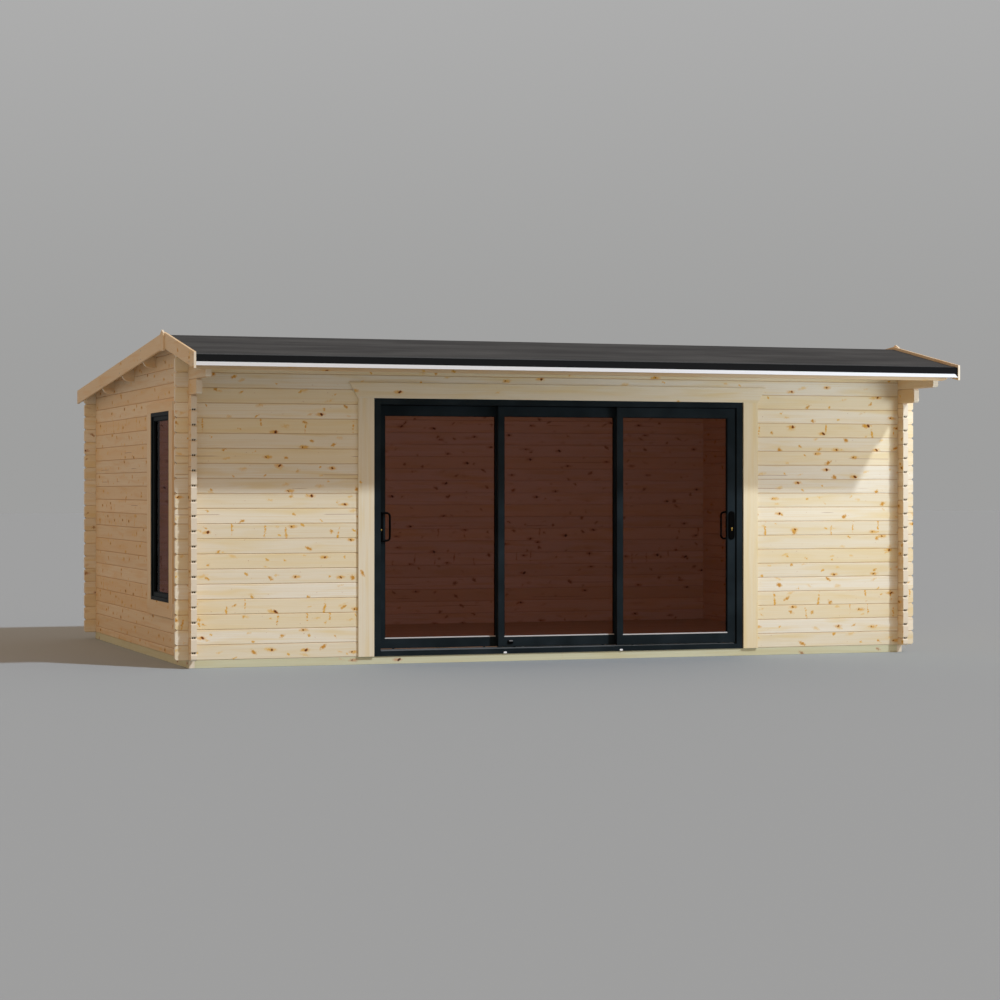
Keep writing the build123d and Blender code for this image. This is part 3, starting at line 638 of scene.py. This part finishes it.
# The nails have low domed heads, dipped in zinc: dull grey metal with spangles about 2 mm wide.
NAIL_DOME = ((5.0 * MM, 0.0), (4.6 * MM, 0.9 * MM), (2.6 * MM, 1.5 * MM), (0.6 * MM, 1.7 * MM))
NAIL_SIDES = 12
NAIL_PAIR = 34 * MM
NAIL_FROM_END = 32 * MM
PURLIN_REACH = 80 * MM
SPANGLE = 2 * MM
ZINC = ("#8F8D86", "#B4B2AB")
galvanised = mottled("galvanised_nail", ZINC, SPANGLE, (0.35, 0.6), metallic=1.0, detail=1.0)


def turned_rims(spot, axis, profile, sides):
    """Round rims about an axis through a point, from (radius, distance along the axis) pairs."""
    first = axis.orthogonal().normalized()
    second = axis.cross(first)
    turns = [2 * math.pi * side / sides for side in range(sides)]
    ways = [first * math.cos(turn) + second * math.sin(turn) for turn in turns]
    return [[spot + axis * up + way * radius for way in ways] for radius, up in profile]


def purlin_places():
    """Where the purlins cross a gable, as y values: points nearer than PURLIN_REACH are one purlin."""
    places = []
    for name in ("ridge_purlin", "back_purlins", "eave_purlin"):
        for y in sorted({round(vert.co.y, 3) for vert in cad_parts[name].data.vertices}):
            if places and abs(y - places[-1][-1]) < PURLIN_REACH:
                places[-1].append(y)
            else:
                places.append([y])
    return [(min(group) + max(group)) / 2 for group in places]


nails = bmesh.new()
for name in ("front_bargeboards", "back_bargeboards"):
    low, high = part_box(name)
    edge = {}
    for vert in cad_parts[name].data.vertices:
        edge.setdefault(round(vert.co.y, 3), set()).add(vert.co.z)
    ends = sorted((y, (min(levels) + max(levels)) / 2) for y, levels in edge.items())
    (y_a, z_a), (y_b, z_b) = ends
    spots = [y for y in purlin_places() if y_a + NAIL_PAIR < y < y_b - NAIL_PAIR]
    spots += [y_a + NAIL_FROM_END, y_b - NAIL_FROM_END]
    for y in spots:
        middle = z_a + (z_b - z_a) * (y - y_a) / (y_b - y_a)
        for x, way in ((low.x, -1), (high.x, 1)):
            for lift in (-NAIL_PAIR, NAIL_PAIR):
                spot = Vector((x, y, middle + lift))
                loft(nails, turned_rims(spot, Vector((way, 0, 0)), NAIL_DOME, NAIL_SIDES))
fit_out(finish_mesh("bargeboard_nails", nails, "cabin"), galvanised)

# Door casing
# Planed spruce boards nailed round the doorway: two uprights, and a head board with slanted ends.
# They are as pale as the front logs, of better wood with fewer knots.
UPRIGHT_ROW = 1200 * MM
UPRIGHT_START = -1800 * MM
casing_upright = softwood(
    "planed_spruce_casing_upright", "Z", "X", UPRIGHT_ROW, UPRIGHT_START, SPRUCE, knotty=0.25
)
casing_head = softwood("planed_spruce_casing_head", "X", "Z", LONE_ROW, EAVE_START, SPRUCE, knotty=0.5)
dress(casing_upright, "door_casing_sides")
dress(casing_head, "door_casing_head")
ease(PLANED_ARRIS, "door_casing_sides", "door_casing_head")

# Door frame
# Hollow aluminium sections, mitred and screwed, powder coated in fine matt anthracite.
# The coat has a fine grain, drawn 3 mm wide so that it shows, and catches light on its eased edges.
COAT_GRAIN = 3 * MM
COAT_CLOUD = 240 * MM
COAT_RELIEF = 0.15 * MM
FRAME_ARRIS = 1.2 * MM
anthracite, tree, sockets = surface("anthracite_powder_coat", "#1F272B", 0.5, specular=0.03)
place = node(tree, "TexCoord").node.outputs["Object"]
coat_grain = node(tree, "TexNoise", {"Vector": place, "Scale": 1 / COAT_GRAIN, "Detail": 2.0})
coat_cloud = node(tree, "TexNoise", {"Vector": place, "Scale": 1 / COAT_CLOUD, "Detail": 2.0})
two_tints(tree, sockets, coat_cloud, 0.35, 0.65, "#1B2225", "#242C30")
node(tree, "MapRange", (coat_grain, 0.3, 0.7, 0.43, 0.55), into=sockets["Roughness"])
relief = {"Strength": 0.2, "Distance": COAT_RELIEF, "Height": coat_grain}
node(tree, "Bump", relief, into=sockets["Normal"])
dress(anthracite, "door_jambs", "door_head", "door_sill")
ease(FRAME_ARRIS, "door_jambs", "door_head", "door_sill")

# Running strips of bare aluminium lie on the sill's three rails. Extruded metal gives a soft grey glint
# with fine lines along its length, drawn 2 mm apart so that they show.
DIE_LINE = 2 * MM
DIE_RELIEF = 0.1 * MM
RAIL_HALF = 4 * MM
RAIL_MIDDLES = (-1749 * MM, -1685 * MM, -1621 * MM)
STRIP_THICK = 0.8 * MM
STRIP_DROP = 4.5 * MM
STRIP_SHORT = 8 * MM
aluminium, tree, sockets = surface("mill_finish_aluminium", "#A4A6A7", 0.38, metallic=1.0)
place = node(tree, "TexCoord").node.outputs["Object"]
die_lines = node(tree, "VectorMath", (place, (0.5, 1 / DIE_LINE, 1 / DIE_LINE)), operation="MULTIPLY")
die_noise = node(tree, "TexNoise", {"Vector": die_lines, "Scale": 1.0, "Detail": 2.0})
node(tree, "MapRange", (die_noise, 0.3, 0.7, 0.3, 0.5), into=sockets["Roughness"])
two_tints(tree, sockets, die_noise, 0.3, 0.7, "#93979A", "#B0B3B4")
relief = {"Strength": 0.2, "Distance": DIE_RELIEF, "Height": die_noise}
node(tree, "Bump", relief, into=sockets["Normal"])
low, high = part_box("door_sill")
strips = bmesh.new()
strip_profile = (
    (-RAIL_HALF - STRIP_THICK, -STRIP_DROP),
    (-RAIL_HALF - STRIP_THICK, STRIP_THICK / 2),
    (-RAIL_HALF, STRIP_THICK),
    (RAIL_HALF, STRIP_THICK),
    (RAIL_HALF + STRIP_THICK, STRIP_THICK / 2),
    (RAIL_HALF + STRIP_THICK, -STRIP_DROP),
)
strip_ends = (low.x + STRIP_SHORT, high.x - STRIP_SHORT)
for middle in RAIL_MIDDLES:
    rims = [[Vector((x, middle + y, high.z + z)) for y, z in strip_profile] for x in strip_ends]
    loft(strips, rims)
fit_out(finish_mesh("sill_running_strips", strips, "cabin"), aluminium)

# Two caps of moulded white nylon, with a low sheen, cover the sill's drain slots.
# A plate is given by its half sizes, the radius of its corners, and the inset and height of its rims.
CAP_PLACES = (-484 * MM, 493 * MM)
CAP_MIDDLE = 8.5 * MM
CAP_PLATE = (
    (13 * MM, 7.5 * MM),
    5 * MM,
    ((0.0, 0.0), (0.0, 2.2 * MM), (1.2 * MM, 3.2 * MM), (2.2 * MM, 3.4 * MM)),
)
ROUND_STEPS = 5


def rounded_outline(half_width, half_height, corner):
    """Points round a rectangle with rounded corners."""
    points = []
    for quarter, (side, end) in enumerate(((1, 1), (-1, 1), (-1, -1), (1, -1))):
        for step in range(ROUND_STEPS + 1):
            turn = math.pi / 2 * (quarter + step / ROUND_STEPS)
            points.append((
                side * (half_width - corner) + corner * math.cos(turn),
                end * (half_height - corner) + corner * math.sin(turn),
            ))
    return points


def plate_rims(x, z, face, outward, half, corner, steps):
    """Rims of a plate on an upright face: each step is an inset and a height above the face."""
    rims = []
    for inset, height in steps:
        outline = rounded_outline(half[0] - inset, half[1] - inset, corner - inset)
        y = face + outward * height
        rims.append([Vector((x + aside, y, z + up)) for aside, up in outline])
    return rims


caps = bmesh.new()
for x in CAP_PLACES:
    loft(caps, plate_rims(x, low.z + CAP_MIDDLE, low.y, -1, *CAP_PLATE))
white_nylon = enamel("white_nylon_cap", "#F2F3F3", 0.4)
fit_out(finish_mesh("sill_drain_caps", caps, "cabin"), white_nylon)

# Door leaves
# Three sliding leaves of the same coated aluminium, each with a sealed pane of bronze float glass.
# The glass is tinted through, so the room behind it looks dim and red-brown. Its shine is faint, grows
# at a slant, and is taken from the slant alone so that both faces of a pane have the same.
LEAF_ARRIS = 1.5 * MM
FAINTEST_SHINE = 0.004
SLANTED_SHINE = 0.12
dress(anthracite, "left_leaf_frame", "middle_leaf_frame", "right_leaf_frame")
ease(LEAF_ARRIS, "left_leaf_frame", "middle_leaf_frame", "right_leaf_frame")
glass = bpy.data.materials.new("bronze_float_glass")
glass.use_nodes = True
tree = glass.node_tree
tree.nodes.clear()
see_through = node(tree, "BsdfTransparent", (linear("#D6BCBA"),))
shine = node(tree, "BsdfGlossy", {"Color": (1, 1, 1, 1), "Roughness": 0.02})
slant = node(tree, "LayerWeight", (0.5,)).node.outputs["Facing"]
steep = node(tree, "Math", (slant, 5.0), operation="POWER")
shine_share = node(tree, "MapRange", (steep, 0.0, 1.0, FAINTEST_SHINE, SLANTED_SHINE))
output = tree.nodes.new("ShaderNodeOutputMaterial")
node(tree, "MixShader", (shine_share, see_through, shine), into=output.inputs["Surface"])
dress(glass, "left_leaf_glass", "middle_leaf_glass", "right_leaf_glass")

# Each pane is held by a black rubber gasket, and by a bead along its foot whose pale grey coat is
# partly a painted highlight for the sunlit ledge there.
# A dark pile strip on top of each leaf closes the gap under the head. Rubber and pile are dull and
# nearly black, with a greyer bloom in patches about 5 mm wide.
BLOOM_SIZE = 5 * MM
BLACKS = ("#090909", "#151515")
rubber = mottled("epdm_gasket", BLACKS, BLOOM_SIZE, (0.6, 0.8), specular=0.2, edges=(0.35, 0.75))
# Pale grey, partly a painted highlight along the foot of each pane.
bead_painted_highlight = enamel("grey_bead_painted_highlight", "#B3B0AC", 0.3)
GLASS_SEAT = 12 * MM
GASKET_WIDTH = 5 * MM
GASKET_PROUD = 3 * MM
GASKET_STEPS = ((0.0, 0.0), (0.2, 0.7), (0.5, 1.0), (0.8, 0.7), (1.0, 0.0))
BEAD_HEIGHT = 9 * MM
BEAD_PROUD = 5.5 * MM
PILE_HEIGHT = 5 * MM
PILE_SHORT = 2 * MM
PILE_STEPS = ((0.1, 0.0), (0.14, 0.8), (0.2, 1.0), (0.8, 1.0), (0.86, 0.8), (0.9, 0.0))


def gasket(mesh, low, high, flat, face, outward):
    """Rubber lip on a face of a pane, round the glass from low to high; flat is the axis through it."""
    rims = []
    for across, up in GASKET_STEPS:
        inset = across * GASKET_WIDTH
        left, right = low[0] + inset, high[0] - inset
        foot, top = low[1] + inset, high[1] - inset
        rim = []
        for aside, level in ((left, foot), (right, foot), (right, top), (left, top)):
            spot = Vector((0, 0, level))
            spot[1 - flat] = aside
            spot[flat] = face + outward * up * GASKET_PROUD
            rim.append(mesh.verts.new(spot))
        rims.append(rim)
    for near, far in zip(rims, rims[1:] + rims[:1]):
        for this in range(4):
            after = (this + 1) % 4
            mesh.faces.new((near[this], near[after], far[after], far[this]))


for leaf in ("left_leaf", "middle_leaf", "right_leaf"):
    low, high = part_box(leaf + "_glass")
    inner_low = (low.x + GLASS_SEAT, low.z + GLASS_SEAT)
    inner_high = (high.x - GLASS_SEAT, high.z - GLASS_SEAT)
    lips = bmesh.new()
    for face, outward in ((low.y, -1), (high.y, 1)):
        gasket(lips, inner_low, inner_high, 1, face, outward)
    fit_out(finish_mesh(leaf + "_gaskets", lips, leaf), rubber)
    bead = bmesh.new()
    foot = inner_low[1]
    bead_profile = (
        (low.y, foot),
        (low.y - BEAD_PROUD, foot),
        (low.y - BEAD_PROUD, foot + 0.2 * BEAD_HEIGHT),
        (low.y - 0.45 * BEAD_PROUD, foot + BEAD_HEIGHT),
        (low.y, foot + BEAD_HEIGHT),
    )
    loft(bead, [[Vector((x, y, z)) for y, z in bead_profile] for x in (inner_low[0], inner_high[0])])
    fit_out(finish_mesh(leaf + "_bead", bead, leaf), bead_painted_highlight)
    low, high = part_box(leaf + "_frame")
    pile = bmesh.new()
    pile_profile = [
        (low.y + across * (high.y - low.y), high.z + up * PILE_HEIGHT) for across, up in PILE_STEPS
    ]
    pile_ends = (low.x + PILE_SHORT, high.x - PILE_SHORT)
    loft(pile, [[Vector((x, y, z)) for y, z in pile_profile] for x in pile_ends])
    fit_out(finish_mesh(leaf + "_pile_seal", pile, leaf), rubber)

# Door furniture
# Die-cast pulls, lock plates and a foot bolt, powder coated satin black and screwed to the leaves.
# Lock barrels and turn knobs are satin brass: a warm, soft glint, with a brushed grain drawn 2 mm wide
# so that it shows.
BRUSH_GRAIN = 2 * MM
furniture = enamel("black_powder_coat", "#030303", 0.05)
brass = mottled("satin_brass", ("#BD9540", "#D6B463"), BRUSH_GRAIN, (0.28, 0.45), metallic=1.0)
HANDLE_HEIGHT = 1055 * MM
HANDLE_HALF = 115 * MM
PULL_PLACE = 1449 * MM
PULL_REACH = 62 * MM
PULL_RADIUS = 8 * MM
PULL_CORNER = 26 * MM
PULL_PLATE_STEPS = ((0.0, 0.0), (0.0, 4 * MM), (1.5 * MM, 5.6 * MM), (3 * MM, 6 * MM))
PULL_PLATE = ((13 * MM, HANDLE_HALF), 10 * MM, PULL_PLATE_STEPS)
PULL_SIDES = 14
CORNER_STEPS = 7
LOCK_PLACE = 1457.5 * MM
LOCK_DROP = 24 * MM
LOCK_PLATE = (
    (26 * MM, HANDLE_HALF),
    25 * MM,
    (
        (0.0, 0.0), (0.0, 6 * MM), (1.6 * MM, 9 * MM), (4 * MM, 10.6 * MM), (7 * MM, 11 * MM),
        (9 * MM, 11 * MM), (11 * MM, 8.6 * MM),
    ),
)
BARREL = ((7 * MM, 8.0 * MM), (7 * MM, 10.6 * MM), (6 * MM, 11.0 * MM), (1.2 * MM, 11.0 * MM))
BARREL_SIDES = 24
BARREL_TAIL = (
    (3.5 * MM, 7 * MM), 3.4 * MM, ((0.0, 8.0 * MM), (0.0, 10.4 * MM), (1 * MM, 10.8 * MM))
)
TAIL_DROP = 13 * MM
KNOB_ASIDE = 5 * MM
KNOB = (
    (7 * MM, 4 * MM), (7 * MM, 8 * MM), (5.5 * MM, 9 * MM), (5.5 * MM, 12 * MM), (4 * MM, 13 * MM)
)
KNOB_SIDES = 20
CAST_ANGLE = math.radians(35)


def pull_rims(x, face, sideways, outward):
    """Rims of a round bar bent to a D: out of the plate, down along the grip and back in."""
    depth = face + outward * (PULL_PLATE_STEPS[-1][1] + PULL_RADIUS)
    top = HANDLE_HEIGHT + HANDLE_HALF - PULL_RADIUS
    bottom = HANDLE_HEIGHT - HANDLE_HALF + PULL_RADIUS
    path = [(0.0, top, 0.0)]
    for quarter, middle in ((0, top - PULL_CORNER), (1, bottom + PULL_CORNER)):
        for step in range(CORNER_STEPS + 1):
            turn = math.pi / 2 * (quarter + step / CORNER_STEPS)
            out = PULL_REACH - PULL_CORNER + PULL_CORNER * math.sin(turn)
            path.append((out, middle + PULL_CORNER * math.cos(turn), turn))
    path.append((0.0, bottom, math.pi))
    rims = []
    for out, z, turn in path:
        rim = []
        for side in range(PULL_SIDES):
            spin = 2 * math.pi * side / PULL_SIDES
            off = PULL_RADIUS * math.cos(spin)
            rim.append(Vector((
                x + sideways * (out + off * math.sin(turn)),
                depth + PULL_RADIUS * math.sin(spin),
                z + off * math.cos(turn),
            )))
        rims.append(rim)
    return rims


def make_handle(leaf, sideways, pull, lock):
    """Pull on one face of a lock stile and lock plate on the other, in place of the CAD handle.

    pull and lock each hold a place along the wall, a face of the stile and the way out from it.
    """
    pull_x, pull_face, pull_way = pull
    lock_x, lock_face, lock_way = lock
    cast = bmesh.new()
    loft(cast, plate_rims(pull_x, HANDLE_HEIGHT, pull_face, pull_way, *PULL_PLATE))
    loft(cast, pull_rims(pull_x, pull_face, sideways, pull_way))
    loft(cast, plate_rims(lock_x, HANDLE_HEIGHT, lock_face, lock_way, *LOCK_PLATE))
    piece = finish_mesh(leaf + "_handle_cast", cast, leaf, leaf + "_handle")
    fit_out(piece, furniture)
    for face in piece.data.polygons:
        face.use_smooth = True
    piece.data.set_sharp_from_angle(angle=CAST_ANGLE)
    barrel = bmesh.new()
    lock_height = HANDLE_HEIGHT - LOCK_DROP
    lock_spot = Vector((lock_x, lock_face, lock_height))
    loft(barrel, turned_rims(lock_spot, Vector((0, lock_way, 0)), BARREL, BARREL_SIDES))
    loft(barrel, plate_rims(lock_x, lock_height - TAIL_DROP, lock_face, lock_way, *BARREL_TAIL))
    knob_spot = Vector((pull_x - sideways * KNOB_ASIDE, pull_face, lock_height))
    loft(barrel, turned_rims(knob_spot, Vector((0, pull_way, 0)), KNOB, KNOB_SIDES))
    fit_out(finish_mesh(leaf + "_lock_barrel", barrel, leaf), brass)


front, back = (corner.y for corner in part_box("left_leaf_frame"))
make_handle("left_leaf", 1, (-PULL_PLACE, front, -1), (-LOCK_PLACE, back, 1))
front, back = (corner.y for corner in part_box("right_leaf_frame"))
make_handle("right_leaf", -1, (PULL_PLACE, back, 1), (LOCK_PLACE, front, -1))

# The bolt at the foot of the middle leaf has a black body and a slide of moulded grey nylon, whose grey
# is partly a painted highlight on the bolt's front.
BOLT_X = -414 * MM
BOLT_HEIGHT = 147 * MM
BOLT_BODY = (
    (22 * MM, 15 * MM),
    9 * MM,
    (
        (0.0, 0.0), (0.0, 7 * MM), (1.5 * MM, 10 * MM), (4 * MM, 11.5 * MM), (6 * MM, 11.5 * MM),
        (8 * MM, 9 * MM),
    ),
)
BOLT_SLIDE = (
    (17 * MM, 5 * MM),
    4.5 * MM,
    ((0.0, 9 * MM), (0.0, 14 * MM), (1 * MM, 16.5 * MM), (2.5 * MM, 17.6 * MM)),
)
BOLT_SLIDE_UP = 7 * MM
bolt_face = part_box("middle_leaf_frame")[0].y
body = bmesh.new()
loft(body, plate_rims(BOLT_X, BOLT_HEIGHT, bolt_face, -1, *BOLT_BODY))
body_piece = finish_mesh("middle_leaf_bolt_body", body, "middle_leaf", "middle_leaf_bolt")
fit_out(body_piece, furniture)
slide = bmesh.new()
loft(slide, plate_rims(BOLT_X, BOLT_HEIGHT + BOLT_SLIDE_UP, bolt_face, -1, *BOLT_SLIDE))
# The slide's grey is partly a painted highlight on the bolt.
slide_painted_highlight = enamel("grey_slide_painted_highlight", "#77797B", 0.3)
slide_piece = finish_mesh("middle_leaf_bolt_slide", slide, "middle_leaf")
fit_out(slide_piece, slide_painted_highlight)

# Window
# A fixed light: coated aluminium frame and sash with bronze glass in a rubber gasket.
# Planed spruce boards are nailed round it, of better wood than the logs.
WINDOW_START = 100 * MM
dress(anthracite, "window_frame", "window_sash")
ease(FRAME_ARRIS, "window_frame", "window_sash")
dress(glass, "window_glass")
low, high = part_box("window_glass")
inner_low = (low.y + GLASS_SEAT, low.z + GLASS_SEAT)
inner_high = (high.y - GLASS_SEAT, high.z - GLASS_SEAT)
lips = bmesh.new()
for face, outward in ((low.x, -1), (high.x, 1)):
    gasket(lips, inner_low, inner_high, 0, face, outward)
fit_out(finish_mesh("window_gaskets", lips, "cabin"), rubber)
window_upright = softwood(
    "planed_spruce_window_upright", "Z", "Y", UPRIGHT_ROW, UPRIGHT_START, SPRUCE_WARMED_FOR_SHADE, knotty=0.3
)
window_board = softwood(
    "planed_spruce_window_board", "Y", "Z", LONE_ROW, WINDOW_START, SPRUCE_WARMED_FOR_SHADE, knotty=0.5
)
dress(window_upright, "window_casing_sides")
dress(window_board, "window_casing_ends")
ease(PLANED_ARRIS, "window_casing_sides", "window_casing_ends")

# Stage
# A plain pale floor, and an even sky that shows a grey backdrop, which meets the floor without a line.
# One soft high lamp from the front right throws the shadow of the eave.
FLOOR_HALF = 120.0
SKY_STRENGTH = 0.53
SKY_LIGHT = "#FFDDBF"
HORIZON = "#D3D3D2"
OVERHEAD = "#EDEDED"
HAZE_TOP = 0.3
floor_mesh = bpy.data.meshes.new("stage_floor")
corners = [(-1, -1), (1, -1), (1, 1), (-1, 1)]
floor_mesh.from_pydata([(x * FLOOR_HALF, y * FLOOR_HALF, 0) for x, y in corners], [], [(0, 1, 2, 3)])
stage_floor = bpy.data.objects.new("stage_floor", floor_mesh)
scene.collection.objects.link(stage_floor)
floor_mesh.materials.append(surface("stage_floor", "#A4ADB2", 0.85, specular=0.2)[0])

world = bpy.data.worlds.new("stage_sky")
scene.world = world
world.use_nodes = True
tree = world.node_tree
sky = tree.nodes["Background"]
sky.inputs["Strength"].default_value = SKY_STRENGTH
ray = node(tree, "LightPath").node.outputs
seen = node(tree, "Math", (ray["Is Camera Ray"], ray["Is Glossy Ray"]), operation="MAXIMUM")
seen = node(tree, "Math", (seen, ray["Is Transmission Ray"]), operation="MAXIMUM")
way = node(tree, "TexCoord").node.outputs["Generated"]
height = node(tree, "SeparateXYZ", (way,)).node.outputs["Z"]
climb = node(tree, "MapRange", (height, 0.0, HAZE_TOP), interpolation_type="SMOOTHSTEP")
backdrop = node(tree, "Mix", (climb, linear(HORIZON), linear(OVERHEAD)), data_type="RGBA")
node(tree, "Mix", (seen, linear(SKY_LIGHT), backdrop), data_type="RGBA", into=sky.inputs["Color"])

LAMP_ELEVATION = math.radians(44)
LAMP_TURN = math.radians(38)
LAMP_SOFTNESS = math.radians(3)
LAMP_POWER = 2.15
lamp = bpy.data.lights.new("stage_lamp", "SUN")
lamp.energy = LAMP_POWER
lamp.color = linear("#E7F2FF")[:3]
lamp.angle = LAMP_SOFTNESS
lamp_object = bpy.data.objects.new("stage_lamp", lamp)
lamp_object.rotation_euler = (math.pi / 2 - LAMP_ELEVATION, 0, LAMP_TURN)
scene.collection.objects.link(lamp_object)

# A broad fill lamp from the right, and one over the door inside so that the room shows through the
# glass. Sizes and places are in metres, and a spread is in degrees.
for name, power, colour, size, spread, spot, aim in (
    ("fill_lamp", 25.0, "#E4F1FF", (4.0, 2.0), 50, (6.0, -7.0, 1.5), (2.7, -1.8, 2.4)),
    ("room_lamp", 16.5, "#F0F5FF", (4.5, 0.4), 180, (0.0, -1.45, 2.2), (0.0, 2.2, 1.1)),
):
    soft = bpy.data.lights.new(name, "AREA")
    soft.shape = "RECTANGLE"
    soft.size, soft.size_y = size
    soft.spread = math.radians(spread)
    soft.energy = power
    soft.color = linear(colour)[:3]
    soft_object = bpy.data.objects.new(name, soft)
    soft_object.location = spot
    soft_object.rotation_euler = (Vector(aim) - Vector(spot)).to_track_quat("-Z", "Y").to_euler()
    soft_object.visible_camera = False
    soft_object.visible_glossy = False
    scene.collection.objects.link(soft_object)

# Camera
# At the photograph's place: level, with the frame shifted a little down. Lens and sensor are in mm.
CAMERA_SPOT = (-6.927, -20.372, 1.347)
CAMERA_TURN = math.radians(-18.995)
camera_data = bpy.data.cameras.new("camera")
camera_data.sensor_width = 36.0
camera_data.lens = 90.45
camera_data.shift_y = -0.0108
camera_data.clip_end = 500.0
camera = bpy.data.objects.new("camera", camera_data)
camera.location = CAMERA_SPOT
camera.rotation_euler = (math.pi / 2, 0, CAMERA_TURN)
scene.collection.objects.link(camera)
scene.camera = camera
